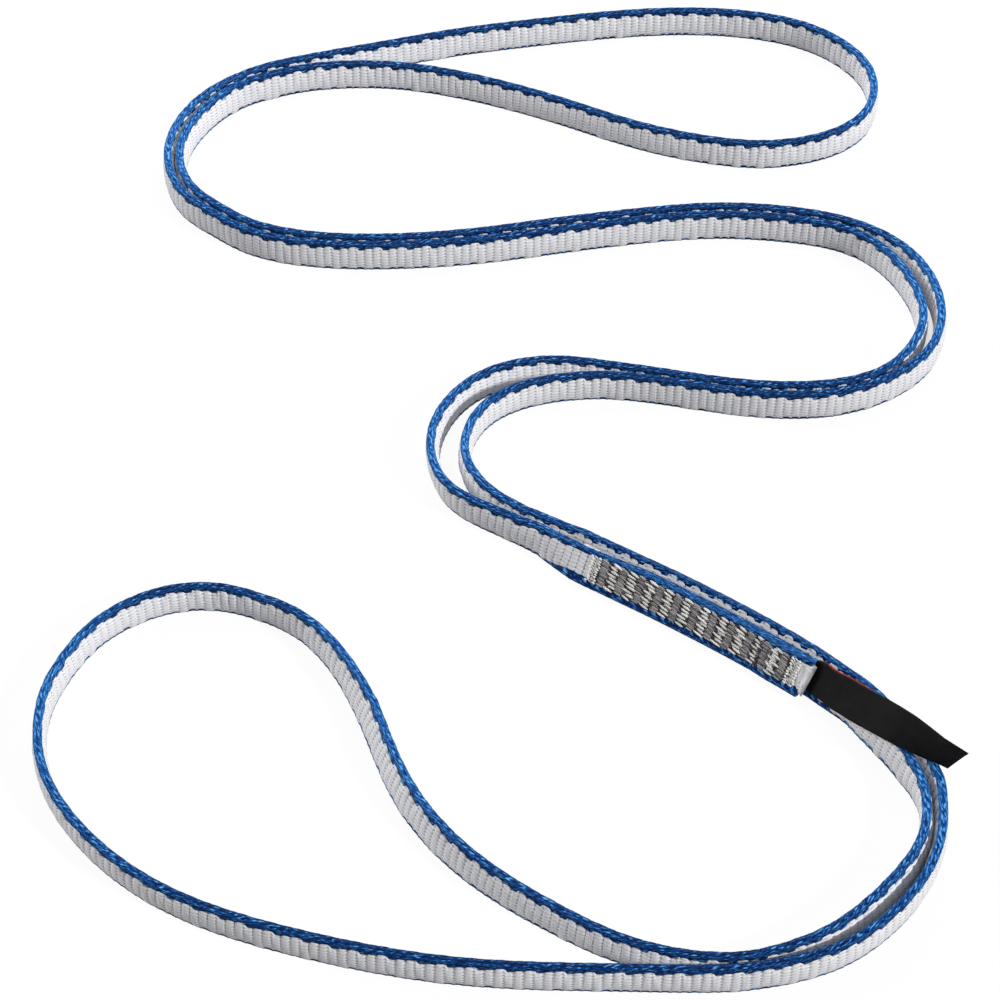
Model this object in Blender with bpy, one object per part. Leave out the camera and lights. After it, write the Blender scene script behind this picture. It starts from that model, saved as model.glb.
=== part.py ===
"""A sewn sling: one length of narrow flat tape, its two ends lapped and bar tacked into a closed
loop, lying on its lower edge in a long meander. Metres, +Z up. The origin is on the surface that
the sling stands on, under the middle of its outline, with +Y along its longer side.

The meander is two strands side by side, strand a and strand b, joined by a loop at the top and a
loop at the bottom. Strand a holds the splice."""

import math

import bmesh
import bpy
import numpy as np
from mathutils import Matrix, Vector

OBJECT_NAME = "sewn_sling"

# The tape stands on its lower edge, so its width is its height here
TAPE_WIDTH = 0.0100
TAPE_THICKNESS = 0.0024
UPPER_EDGE_HEIGHT = 0.0013
LOWER_EDGE_HEIGHT = 0.0010
UPPER_EDGE_CHAMFER = 0.0005
YARN_GAP = 0.0003
STRETCH_GAP = 0.0003

# The splice: the tape's two ends lapped and pressed flat by the stitching
SPLICE_LENGTH = 0.0735
SEWN_THICKNESS = 0.0018
PRESSED_RAMP = 0.0120
LAYER_GAP = 0.0003
HOT_CUT_LENGTH = 0.0040
HOT_CUT_EDGE_THICKNESS = 0.0011
HOT_CUT_ROUND = 0.0008
HOT_CUT_RINGS = 4

# The bar tacks: grey thread, an H in plan, through both layers
TACK_COUNT = 11
TACK_PITCH = 0.00562
FIRST_TACK_FROM_END = 0.0081
TACK_WIDTH = 0.0028
TACK_HEIGHT = 0.0072
TACK_LOW_EDGE = 0.0012
TACK_THREAD_PROUD = 0.0004
TACK_SEAT_GAP = 0.0003
TACK_CORE_WIDTH = 0.0010
TACK_CORE_HEIGHT = 0.0036
TACK_SLOT_CLEARANCE = 0.0003

# The lock rows: white thread, one at each end of the tacks
LOCK_WIDTH = 0.0022
LOCK_FROM_TACK = 0.0031

# The label: a woven ribbon folded into two plies, its ends sewn between the layers
LABEL_WIDTH = 0.0098
LABEL_PLY = 0.00025
LABEL_PLY_GAP = 0.0003
LABEL_SEWN_LENGTH = 0.0112
LABEL_PRESSED = 0.0005
LABEL_GAP = 0.0003
LABEL_LAP_RAMP = 0.0050
LABEL_FOLD_SPACE = 0.0009
LABEL_TIP_SLANT = 0.0048
LABEL_RINGS = 48
LABEL_ROOT_HEIGHT = 0.0050
LABEL_ROOT_LENGTH = 0.0018

OVERRUN = 0.0020

# How finely the tape's curves are cut into flat steps
STEP_ON_STRAIGHTS = 0.0120
TURN_PER_STEP = math.radians(10.0)
CURVE_SAMPLES_PER_ROW = 40

# The route's rows are in millimetres and degrees
ROUTE_UNIT = 0.001

# The doubled run, from the bottom loop to the top loop. Each row is a point midway between the two
# strands' lower edges, the clear opening between them and how far both lean to the right of the run.
DOUBLED_RUN = {
    "lower_right_bend": [
        (42.9, -175.1, 1.6, 0.0),
        (54.9, -175.0, 0.9, 0.0),
        (66.8, -172.5, 1.7, 0.0),
        (78.6, -167.7, 3.0, 0.0),
        (88.8, -160.2, 3.7, 0.0),
        (97.3, -151.1, 3.5, 0.0),
        (103.8, -140.1, 2.3, 0.0),
        (106.1, -128.0, 1.9, 0.0),
        (105.2, -121.0, 2.3, 3.0),
        (102.3, -115.0, 2.2, 8.0),
        (97.8, -107.7, 2.2, 14.0),
        (92.5, -101.0, 1.7, 21.0),
        (87.4, -95.2, 0.8, 28.0),
        (82.6, -91.3, 0.7, 32.0),
    ],
    "splice": [
        (77.7, -87.1, 0.7, 34.0),
        (67.3, -79.0, 1.0, 34.0),
        (56.9, -71.6, 1.1, 34.0),
        (46.3, -64.5, 1.1, 34.0),
        (35.6, -57.7, 1.0, 34.0),
        (24.9, -51.2, 0.9, 34.0),
    ],
    "left_bend": [
        (15.5, -44.7, 1.2, 26.0),
        (10.6, -40.8, 1.3, 14.0),
        (1.2, -33.8, 1.5, 2.0),
        (-8.4, -27.3, 3.2, 0.0),
        (-15.8, -20.0, 6.2, 0.0),
        (-19.3, -10.9, 7.2, 0.0),
        (-18.6, -1.0, 7.5, 0.0),
        (-13.6, 9.0, 7.1, 0.0),
        (-6.3, 15.6, 6.9, 0.0),
        (3.1, 19.6, 6.0, 0.0),
        (14.4, 21.2, 4.2, 0.0),
    ],
    "lower_run": [
        (25.6, 20.7, 1.8, 0.0),
        (37.2, 19.0, 0.9, 0.0),
        (60.8, 14.5, 0.8, 0.0),
        (84.9, 13.0, 1.2, 0.0),
    ],
    "right_bend": [
        (97.2, 15.2, 0.9, 0.0),
        (108.4, 20.5, 0.9, 0.0),
        (117.4, 29.8, 2.6, 0.0),
        (121.9, 41.6, 2.9, 0.0),
        (120.9, 54.6, 3.5, 0.0),
        (115.5, 66.6, 3.2, 0.0),
        (106.7, 75.7, 1.6, 0.0),
        (95.6, 81.2, 1.0, 0.0),
    ],
    "upper_run": [
        (84.0, 83.9, 1.1, 0.0),
        (59.6, 85.7, 1.1, 0.0),
        (35.5, 83.2, 0.9, 0.0),
        (11.8, 79.2, 1.2, 0.0),
        (-11.8, 75.0, 1.0, 0.0),
        (-35.4, 72.8, 0.8, 0.0),
    ],
    "far_left_bend": [
        (-59.2, 73.4, 0.8, 0.0),
        (-70.7, 75.5, 0.9, 0.0),
        (-81.4, 79.6, 0.8, 0.0),
        (-91.0, 86.4, 0.8, 0.0),
        (-99.4, 94.2, 1.1, 0.0),
        (-104.3, 104.5, 1.2, 0.0),
        (-105.1, 115.6, 1.3, 0.0),
        (-101.9, 126.5, 1.5, 0.0),
        (-95.8, 136.1, 1.4, 0.0),
        (-87.3, 143.7, 1.0, 0.0),
        (-77.0, 148.9, 1.6, 0.0),
        (-65.8, 152.3, 2.0, 0.0),
        (-54.5, 154.5, 3.7, 0.0),
    ],
}

# The single loops, in the tape's own order: each row is a point of the lower edge and the lean to
# the right of the way it runs. The top loop goes on from strand a, the bottom loop from strand b.
TOP_LOOP = {
    "top_loop_far_side": [
        (-43.0, 160.6, 0.0),
        (-19.8, 166.6, 0.0),
        (3.8, 171.1, 0.0),
        (27.5, 174.9, 0.0),
        (51.4, 177.0, 0.0),
    ],
    "top_loop_end": [
        (75.3, 175.5, 0.0),
        (97.8, 167.4, 0.0),
        (106.6, 159.5, 0.0),
        (112.3, 149.0, 0.0),
        (112.5, 137.2, 0.0),
        (109.0, 128.8, 0.0),
        (101.5, 121.7, 0.0),
        (88.4, 116.4, 0.0),
    ],
    "top_loop_near_side": [
        (75.6, 114.9, 0.0),
        (63.1, 116.3, 0.0),
        (38.3, 123.5, 0.0),
        (13.6, 134.9, 0.0),
        (-11.4, 144.8, 0.0),
        (-36.6, 150.9, 0.0),
    ],
}
BOTTOM_LOOP = {
    "bottom_loop_near_side": [
        (24.5, -176.8, 0.0),
        (-14.7, -175.0, 0.0),
        (-54.4, -167.1, 0.0),
        (-90.1, -153.2, 0.0),
        (-112.1, -134.7, 0.0),
        (-123.1, -115.7, 0.0),
        (-125.1, -103.1, 0.0),
        (-123.6, -90.2, 0.0),
        (-121.0, -83.6, 0.0),
        (-115.8, -74.3, 0.0),
        (-101.4, -62.3, 0.0),
        (-91.1, -59.0, 0.0),
        (-80.6, -58.9, 0.0),
    ],
    "bottom_loop_far_side": [
        (-70.0, -62.1, 0.0),
        (-59.1, -68.4, -4.0),
        (-49.6, -79.6, -10.0),
        (-40.8, -97.9, -19.0),
        (-30.6, -123.3, -17.0),
        (-12.1, -146.2, -12.0),
        (8.8, -160.7, -7.0),
        (29.0, -170.3, -3.0),
    ],
}

# The label's middle line after its fold at the splice: a point with its height, and its lean
LABEL_ROUTE = [
    (83.6, -93.0, 7.9, -38.0),
    (88.8, -98.1, 10.0, -44.0),
    (93.4, -102.7, 11.9, -46.0),
    (97.4, -107.0, 13.7, -40.0),
    (101.1, -110.5, 14.8, -31.0),
    (104.7, -113.7, 15.4, -19.0),
    (108.5, -116.9, 15.8, -7.0),
    (114.3, -121.2, 16.1, 0.0),
]

# Base colour, roughness and metallic value of each yarn and thread
FINISHES = {
    "ground_white": ((0.80, 0.80, 0.82), 0.62, 0.0),
    "edge_blue": ((0.012, 0.085, 0.40), 0.55, 0.0),
    "tack_grey": ((0.115, 0.105, 0.110), 0.70, 0.0),
    "lock_white": ((0.72, 0.72, 0.68), 0.65, 0.0),
    "hot_cut": ((0.70, 0.72, 0.75), 0.30, 0.0),
    "label_black": ((0.016, 0.016, 0.018), 0.75, 0.0),
    "label_red": ((0.45, 0.045, 0.020), 0.70, 0.0),
}


def clear_scene():
    for item in list(bpy.data.objects):
        bpy.data.objects.remove(item)


def make_collection(name, hidden=False):
    collection = bpy.data.collections.new(name)
    bpy.context.scene.collection.children.link(collection)
    collection.hide_render = hidden
    return collection


def make_material(name):
    colour, roughness, metallic = FINISHES[name]
    material = bpy.data.materials.get(name)
    if material is None:
        material = bpy.data.materials.new(name)
        material.use_nodes = True
        shader = material.node_tree.nodes["Principled BSDF"]
        shader.inputs["Base Color"].default_value = (*colour, 1.0)
        shader.inputs["Roughness"].default_value = roughness
        shader.inputs["Metallic"].default_value = metallic
        material.diffuse_color = (*colour, 1.0)
    return material


def right_of(direction):
    """The horizontal unit vectors to the right of the given horizontal directions."""
    right = np.stack([direction[..., 1], -direction[..., 0]], axis=-1)
    return right / np.linalg.norm(right, axis=-1, keepdims=True)


def chord_places(points):
    """How far along the chords each point lies."""
    chords = np.linalg.norm(np.diff(points, axis=0), axis=1)
    return np.concatenate([[0.0], np.cumsum(chords)])


def smooth_curve(places, values, wanted):
    """A natural cubic spline through values at places, read at the wanted places."""
    step = np.diff(places)
    slope = np.diff(values, axis=0) / step[:, None]
    inner = np.diag(2.0 * (step[:-1] + step[1:])) + np.diag(step[1:-1], 1) + np.diag(step[1:-1], -1)
    bend = np.zeros_like(values)
    bend[1:-1] = np.linalg.solve(inner, 6.0 * np.diff(slope, axis=0))
    i = np.clip(np.searchsorted(places, wanted, side="right") - 1, 0, len(step) - 1)
    t = (wanted - places[i])[:, None]
    h = step[i][:, None]
    start = slope[i] - h * (2.0 * bend[i] + bend[i + 1]) / 6.0
    return values[i] + t * (start + t * (bend[i] / 2.0 + t * (bend[i + 1] - bend[i]) / (6.0 * h)))


def strand_rows():
    """The closed route's rows of x, y in metres and lean in radians, and each stretch's first row."""
    table = np.array([row for rows in DOUBLED_RUN.values() for row in rows])
    middle = table[:, :2] * ROUTE_UNIT
    lean = np.radians(table[:, 3])
    right = right_of(np.gradient(middle, chord_places(middle), axis=0))
    half = (TAPE_THICKNESS + table[:, 2] * ROUTE_UNIT) / np.cos(lean) / 2.0
    strand_a = np.column_stack([middle - right * half[:, None], lean])
    strand_b = np.column_stack([middle + right * half[:, None], -lean])[::-1]
    rows = []
    starts = {}
    for name, stretch in DOUBLED_RUN.items():
        starts[name + "_a"] = len(rows)
        rows += list(strand_a[len(rows) : len(rows) + len(stretch)])
    for name, stretch in TOP_LOOP.items():
        starts[name] = len(rows)
        rows += [(x * ROUTE_UNIT, y * ROUTE_UNIT, math.radians(lean)) for x, y, lean in stretch]
    done = 0
    for name, stretch in reversed(DOUBLED_RUN.items()):
        starts[name + "_b"] = len(rows) - (done > 0)
        rows += list(strand_b[done : done + len(stretch)])
        done += len(stretch)
    for name, stretch in BOTTOM_LOOP.items():
        starts[name] = len(rows)
        rows += [(x * ROUTE_UNIT, y * ROUTE_UNIT, math.radians(lean)) for x, y, lean in stretch]
    return np.array(rows), starts


class Tape:
    """The closed middle line of the tape's lower edge, read by the distance along it."""

    def __init__(self):
        rows, starts = strand_rows()
        count = len(rows)
        closed = np.vstack([rows, rows, rows])
        places = chord_places(closed[:, :2])
        wanted = np.interp(
            np.arange(count * CURVE_SAMPLES_PER_ROW + 1) / CURVE_SAMPLES_PER_ROW + count,
            np.arange(len(places)),
            places,
        )
        self.points = smooth_curve(places, closed[:, :2], wanted)
        self.leans = np.interp(wanted, places, closed[:, 2])
        self.along = chord_places(self.points)
        self.length = self.along[-1]
        self.starts = {name: self.along[row * CURVE_SAMPLES_PER_ROW] for name, row in starts.items()}
        self.directions = np.gradient(self.points, self.along, axis=0)
        self.directions[0] = self.directions[-1] = self.directions[0] + self.directions[-1]
        self.right = right_of(self.directions)
        turn = np.linalg.norm(np.gradient(self.right, self.along, axis=0), axis=1)
        twist = np.abs(np.gradient(self.leans, self.along))
        steps = np.maximum(np.maximum(turn, twist) / TURN_PER_STEP, 1.0 / STEP_ON_STRAIGHTS)
        between = (steps[1:] + steps[:-1]) / 2.0 * np.diff(self.along)
        self.measure = np.concatenate([[0.0], np.cumsum(between)])
        self.splice_start = self.starts["splice_a"]
        self.splice_end = self.splice_start + SPLICE_LENGTH
        self.centre_outline()

    def centre_outline(self):
        """Moves the route so that the outline of the standing tape is centred on the origin."""
        reach = self.right * TAPE_THICKNESS / 2.0
        outline = np.vstack([self.points + reach, self.points - reach])
        self.centre = (outline.min(axis=0) + outline.max(axis=0)) / 2.0
        self.points = self.points - self.centre

    def read(self, values, places):
        places = np.mod(places, self.length)
        if values.ndim == 1:
            return np.interp(places, self.along, values)
        return np.stack([np.interp(places, self.along, column) for column in values.T], axis=-1)

    def stations(self, start, end, extra=()):
        """Places from start to end, closer together where the tape bends or twists."""
        lap = self.measure[-1]
        first, last = (
            np.interp(np.mod(place, self.length), self.along, self.measure) + lap * (place // self.length)
            for place in (start, end)
        )
        steps = max(1, math.ceil(last - first))
        marks = np.linspace(first, last, steps + 1)
        places = np.interp(np.mod(marks, lap), self.measure, self.along) + self.length * (marks // lap)
        places[0] = start
        places[-1] = end
        inside = [place for place in extra if start < place < end]
        return np.unique(np.concatenate([places, inside]))

    def frame(self, places):
        """Base points, directions, and the unit vectors through the tape and up its width."""
        places = np.atleast_1d(places)
        lean = self.read(self.leans, places)
        right = right_of(self.read(self.directions, places))
        level = np.zeros(len(places))
        ones = np.ones(len(places))
        lift = np.abs(np.sin(lean)) * TAPE_THICKNESS / 2.0
        base = np.column_stack([self.read(self.points, places), lift])
        direction = np.column_stack([-right[:, 1], right[:, 0], level])
        through = np.column_stack([right * np.cos(lean)[:, None], -np.sin(lean) * ones])
        up = np.column_stack([right * np.sin(lean)[:, None], np.cos(lean) * ones])
        return base, direction, through, up


class Layers:
    """Where the tape's own middle lies in the splice, and how thick it is, along its whole length.
    The tape starts with its near layer at splice_start and ends, a lap later, with its far layer."""

    def __init__(self, tape):
        self.tape = tape
        self.start = tape.splice_start
        self.end = tape.splice_end + tape.length
        self.breaks = [
            tape.splice_start + LABEL_SEWN_LENGTH,
            tape.splice_start + LABEL_SEWN_LENGTH + LABEL_LAP_RAMP,
            tape.splice_end,
            tape.splice_end + PRESSED_RAMP,
            tape.length + tape.splice_start - PRESSED_RAMP,
            tape.length + tape.splice_start,
        ]

    def pressed(self, places):
        """1 where the stitching presses the tape, falling to 0 past each end of the splice."""
        near = 1.0 - (places - self.tape.splice_end) / PRESSED_RAMP
        far = 1.0 + (places - self.tape.length - self.tape.splice_start) / PRESSED_RAMP
        return np.clip(np.maximum(near, far), 0.0, 1.0)

    def thickness(self, places):
        return TAPE_THICKNESS - (TAPE_THICKNESS - SEWN_THICKNESS) * self.pressed(places)

    def gap(self, places):
        """The space between the two layers, wider where the label's end lies between them."""
        beyond = places - self.tape.splice_start - LABEL_SEWN_LENGTH
        lapped = np.clip(1.0 - beyond / LABEL_LAP_RAMP, 0.0, 1.0)
        return LAYER_GAP + (LABEL_PRESSED + 2.0 * LABEL_GAP - LAYER_GAP) * lapped

    def far_layer(self, places):
        return (TAPE_THICKNESS - self.thickness(places)) / 2.0

    def near_layer(self, places):
        from_far_face = SEWN_THICKNESS + self.gap(places) + SEWN_THICKNESS / 2.0
        return self.pressed(places) * (TAPE_THICKNESS / 2.0 - from_far_face)

    def middle(self, places):
        is_near = places < self.tape.splice_end + PRESSED_RAMP
        return np.where(is_near, self.near_layer(places), self.far_layer(places))

    def gap_middle(self, places):
        return TAPE_THICKNESS / 2.0 - SEWN_THICKNESS - self.gap(places) / 2.0


def finish_mesh(name, mesh, material, collection, location=(0.0, 0.0, 0.0)):
    piece = bpy.data.objects.new(name, mesh)
    piece.location = location
    piece.data.materials.append(make_material(material))
    collection.objects.link(piece)
    return piece


def loft(name, rings, material, collection, location=(0.0, 0.0, 0.0)):
    """A closed solid through unlike rings of as many corners each, with flat ends."""
    rings = np.asarray(rings) - np.asarray(location)
    count, corners = rings.shape[:2]
    shell = bmesh.new()
    points = [shell.verts.new(point) for point in rings.reshape(-1, 3)]
    for i in range(count - 1):
        for j in range(corners):
            after = (j + 1) % corners
            quad = (i * corners + j, i * corners + after, (i + 1) * corners + after, (i + 1) * corners + j)
            shell.faces.new([points[index] for index in quad])
    shell.faces.new(points[:corners])
    shell.faces.new(points[-corners:])
    bmesh.ops.recalc_face_normals(shell, faces=shell.faces)
    mesh = bpy.data.meshes.new(name)
    shell.to_mesh(mesh)
    shell.free()
    return finish_mesh(name, mesh, material, collection, location)


def tape_rings(tape, places, across, heights):
    """Rings of points: across is the sideways place of each corner, heights its place up the tape.
    Both hold one row for each ring and one column for each corner."""
    base, _, through, up = tape.frame(places)
    return (
        base[:, None, :]
        + through[:, None, :] * across[:, :, None]
        + up[:, None, :] * heights[:, :, None]
    )


def yarn_solid(name, tape, layers, start, end, profile, material, collection):
    """A part of the tape's section carried along it. The profile's rows are a share of the
    tape's half thickness, an inset from its face and a height."""
    places = tape.stations(start + STRETCH_GAP / 2.0, end - STRETCH_GAP / 2.0, layers.breaks)
    half = layers.thickness(places)[:, None] / 2.0
    side_shares, insets, heights = (np.array(column)[None, :] for column in zip(*profile))
    across = layers.middle(places)[:, None] + side_shares * (half - insets)
    heights = np.repeat(heights, len(places), axis=0)
    return loft(name, tape_rings(tape, places, across, heights), material, collection)


def band_profile(low, high, chamfer=0.0):
    """A rectangle in the tape's section, its two upper corners cut off where a chamfer is given."""
    if not chamfer:
        return [(-1.0, 0.0, low), (1.0, 0.0, low), (1.0, 0.0, high), (-1.0, 0.0, high)]
    return [
        (-1.0, 0.0, low),
        (1.0, 0.0, low),
        (1.0, 0.0, high - chamfer),
        (1.0, chamfer, high),
        (-1.0, chamfer, high),
        (-1.0, 0.0, high - chamfer),
    ]


GROUND_LOW = LOWER_EDGE_HEIGHT + YARN_GAP
GROUND_HIGH = TAPE_WIDTH - UPPER_EDGE_HEIGHT - YARN_GAP


def stretches(tape):
    """The tape's stretches from its near end to its far end: a name, a start and an end."""
    marks = sorted(
        (start if start > tape.splice_start else start + tape.length, name)
        for name, start in tape.starts.items()
        if name not in ("splice_a", "left_bend_a")
    )
    named = [(tape.splice_start, "splice_near_layer"), (tape.splice_end, "left_bend_a")]
    named += marks + [(tape.length + tape.splice_start, "splice_far_layer")]
    ends = [start for start, _ in named[1:]] + [tape.splice_end + tape.length]
    return [(name, start, end) for (start, name), end in zip(named, ends)]


def make_tape(tape, layers, collection):
    ground = {}
    for name, start, end in stretches(tape):
        ground_start = start + HOT_CUT_LENGTH if name == "splice_near_layer" else start
        ground_end = end - HOT_CUT_LENGTH if name == "splice_far_layer" else end
        ground[name] = yarn_solid(
            "ground_" + name,
            tape,
            layers,
            ground_start,
            ground_end,
            band_profile(GROUND_LOW, GROUND_HIGH),
            "ground_white",
            collection,
        )
        yarn_solid(
            "lower_edge_" + name,
            tape,
            layers,
            start,
            end,
            band_profile(0.0, LOWER_EDGE_HEIGHT),
            "edge_blue",
            collection,
        )
    yarn_solid(
        "upper_edge",
        tape,
        layers,
        layers.start,
        layers.end,
        band_profile(TAPE_WIDTH - UPPER_EDGE_HEIGHT, TAPE_WIDTH, UPPER_EDGE_CHAMFER),
        "edge_blue",
        collection,
    )
    return ground


def make_hot_cut_end(name, tape, layers, tip, inner, collection):
    """The melted end of the ground: as thick as the sewn tape, rounded off towards its tip."""
    toward = 1.0 if inner > tip else -1.0
    flat = np.linspace(tip + toward * HOT_CUT_ROUND, inner - toward * STRETCH_GAP / 2.0, HOT_CUT_RINGS)
    places = np.concatenate([[tip], flat])
    half = layers.thickness(places) / 2.0
    half[0] = HOT_CUT_EDGE_THICKNESS / 2.0
    low = np.full(len(places), GROUND_LOW)
    high = np.full(len(places), GROUND_HIGH)
    low[0] = GROUND_LOW + HOT_CUT_ROUND
    high[0] = GROUND_HIGH - HOT_CUT_ROUND
    middle = layers.middle(places)
    across = np.column_stack([middle - half, middle + half, middle + half, middle - half])
    heights = np.column_stack([low, low, high, high])
    loft(name, tape_rings(tape, places, across, heights), "hot_cut", collection)


def box_on_tape(name, tape, place, across, heights, width, collection):
    """A box on the tape at a place, with its near and far sides, its lower and upper ends, and
    its width along the tape."""
    base, direction, through, up = (Vector(vector[0]) for vector in tape.frame(place))
    size = Vector((width, across[1] - across[0], heights[1] - heights[0]))
    middle = base + through * sum(across) / 2.0 + up * sum(heights) / 2.0
    turned = Matrix((direction, through, up)).transposed().to_4x4()
    shell = bmesh.new()
    bmesh.ops.create_cube(
        shell, size=1.0, matrix=Matrix.Translation(middle) @ turned @ Matrix.Diagonal((*size, 1.0))
    )
    bmesh.ops.recalc_face_normals(shell, faces=shell.faces)
    mesh = bpy.data.meshes.new(name)
    shell.to_mesh(mesh)
    shell.free()
    box = bpy.data.objects.new(name, mesh)
    collection.objects.link(box)
    return box


def as_cutter(box):
    box.hide_render = True
    box.display_type = "WIRE"
    return box


def add_boolean(piece, operation, cutter):
    modifier = piece.modifiers.new(operation.lower() + "_" + cutter.name, "BOOLEAN")
    modifier.operation = operation
    modifier.solver = "EXACT"
    modifier.object = cutter


def make_tack(name, tape, layers, place, width, material, sewn, parts, cutters):
    """Thread on both faces of the splice, joined by a core through a slot in all the sewn layers."""
    near_face = layers.near_layer(place) - SEWN_THICKNESS / 2.0 - TACK_SEAT_GAP
    far_face = layers.far_layer(tape.length + place) + SEWN_THICKNESS / 2.0 + TACK_SEAT_GAP
    face_heights = (TACK_LOW_EDGE, TACK_LOW_EDGE + TACK_HEIGHT)
    core_low = TACK_LOW_EDGE + (TACK_HEIGHT - TACK_CORE_HEIGHT) / 2.0
    core_heights = (core_low, core_low + TACK_CORE_HEIGHT)
    slot_heights = (core_heights[0] - TACK_SLOT_CLEARANCE, core_heights[1] + TACK_SLOT_CLEARANCE)
    slot_width = TACK_CORE_WIDTH + 2.0 * TACK_SLOT_CLEARANCE
    near_side = (near_face - TACK_THREAD_PROUD, near_face)
    far_side = (far_face, far_face + TACK_THREAD_PROUD)
    core_side = (sum(near_side) / 2.0, sum(far_side) / 2.0)
    slot_side = (near_side[0] - OVERRUN, far_side[1] + OVERRUN)
    tack = box_on_tape(name, tape, place, near_side, face_heights, width, parts)
    tack.data.materials.append(make_material(material))
    back = box_on_tape(name + "_back", tape, place, far_side, face_heights, width, cutters)
    core = box_on_tape(name + "_core", tape, place, core_side, core_heights, TACK_CORE_WIDTH, cutters)
    slot = box_on_tape(name + "_slot", tape, place, slot_side, slot_heights, slot_width, cutters)
    add_boolean(tack, "UNION", as_cutter(core))
    add_boolean(tack, "UNION", as_cutter(back))
    for piece in sewn:
        add_boolean(piece, "DIFFERENCE", as_cutter(slot))


def make_stitching(tape, layers, sewn, parts, cutters):
    first = tape.splice_start + FIRST_TACK_FROM_END
    for i in range(TACK_COUNT):
        name = f"bar_tack_{i + 1:02d}"
        place = first + i * TACK_PITCH
        make_tack(name, tape, layers, place, TACK_WIDTH, "tack_grey", sewn, parts, cutters)
    last = first + (TACK_COUNT - 1) * TACK_PITCH
    ends = {"lock_row_at_label": first - LOCK_FROM_TACK, "lock_row_at_far_end": last + LOCK_FROM_TACK}
    for name, place in ends.items():
        make_tack(name, tape, layers, place, LOCK_WIDTH, "lock_white", sewn, parts, cutters)


def make_label_end(tape, layers, collection):
    """The label's ends, pressed flat between the two layers."""
    places = tape.splice_start + np.array([0.0, LABEL_SEWN_LENGTH])
    middle = layers.gap_middle(places)
    half = LABEL_PRESSED / 2.0
    low = (TAPE_WIDTH - LABEL_WIDTH) / 2.0
    across = np.column_stack([middle - half, middle + half, middle + half, middle - half])
    heights = np.tile([low, low, low + LABEL_WIDTH, low + LABEL_WIDTH], (len(places), 1))
    return loft("label_sewn_end", tape_rings(tape, places, across, heights), "label_black", collection)


def label_middle(tape, layers):
    """The label's middle line from its fold on: how far along each point lies, the points and
    the leans."""
    start = tape.splice_start
    roots = start - LABEL_FOLD_SPACE - np.array([0.0, LABEL_ROOT_LENGTH])
    base, _, through, up = tape.frame(roots)
    across = layers.gap_middle(np.array([start, start])) - np.array([0.0, 2.0 * LABEL_PLY])
    root_points = base + through * across[:, None] + up * LABEL_ROOT_HEIGHT
    root_leans = -tape.read(tape.leans, roots)
    route = np.array(LABEL_ROUTE)
    route_points = route[:, :3] * ROUTE_UNIT - np.append(tape.centre, 0.0)
    points = np.vstack([root_points, route_points])
    leans = np.concatenate([root_leans, np.radians(route[:, 3])])
    places = chord_places(points)
    return places, points, leans


def label_rings(tape, layers, offset):
    """The rings of one ply, the last ones cut on the slant."""
    places, points, leans = label_middle(tape, layers)
    last = places[-1] - LABEL_TIP_SLANT / 2.0
    stations = np.linspace(0.0, last, LABEL_RINGS)
    rings = []
    for station in stations:
        slant = LABEL_TIP_SLANT / 2.0 if station == last else 0.0
        ring = []
        for side, half in ((-1.0, -0.5), (1.0, -0.5), (1.0, 0.5), (-1.0, 0.5)):
            height = half * LABEL_WIDTH
            place = np.array([station + 2.0 * half * slant])
            point = smooth_curve(places, points, place)[0]
            ahead = smooth_curve(places, points, place + LABEL_PLY)[0]
            lean = float(np.interp(place[0], places, leans))
            direction = Vector(ahead - point).normalized()
            right = Vector((direction.y, -direction.x, 0.0)).normalized()
            up = right * math.sin(lean) + Vector((0.0, 0.0, 1.0)) * math.cos(lean)
            up = (up - direction * up.dot(direction)).normalized()
            through = direction.cross(up)
            ring.append(Vector(point) + through * (offset + side * LABEL_PLY / 2.0) + up * height)
        rings.append(ring)
    return np.array([[tuple(corner) for corner in ring] for ring in rings])


def make_label(tape, layers, collection):
    """Two plies that swing about the fold at the end of the splice."""
    base, _, through, up = tape.frame(tape.splice_start - LABEL_FOLD_SPACE)
    across = layers.gap_middle(np.array([tape.splice_start]))
    fold = base[0] + through[0] * across[0] + up[0] * LABEL_ROOT_HEIGHT
    hinge = bpy.data.objects.new("label_hinge", None)
    hinge.location = fold
    collection.objects.link(hinge)
    offset = (LABEL_PLY + LABEL_PLY_GAP) / 2.0
    plies = (("label_front_ply", offset, "label_black"), ("label_rear_ply", -offset, "label_red"))
    for name, place, material in plies:
        rings = label_rings(tape, layers, place)
        ply = loft(name, rings, material, collection, tuple(fold))
        ply.location = (0.0, 0.0, 0.0)
        ply.parent = hinge
    print("label hinge at", np.round(fold, 5), "along", np.round(up[0], 4))


def report(tape):
    """Prints the length of the loop and that of the tape it's sewn from."""
    print("loop length", round(tape.length, 4), "tape length", round(tape.length + SPLICE_LENGTH, 4))


def main():
    clear_scene()
    parts = make_collection(OBJECT_NAME)
    cutters = make_collection("cutters", hidden=True)
    tape = Tape()
    layers = Layers(tape)
    ground = make_tape(tape, layers, parts)
    near_end = tape.splice_start
    far_end = tape.splice_end + tape.length
    make_hot_cut_end("hot_cut_end_at_label", tape, layers, near_end, near_end + HOT_CUT_LENGTH, parts)
    make_hot_cut_end("hot_cut_end_far", tape, layers, far_end, far_end - HOT_CUT_LENGTH, parts)
    label_end = make_label_end(tape, layers, parts)
    sewn = [ground["splice_near_layer"], ground["splice_far_layer"], label_end]
    make_stitching(tape, layers, sewn, parts, cutters)
    make_label(tape, layers, parts)
    report(tape)


main()
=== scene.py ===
import math

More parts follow.
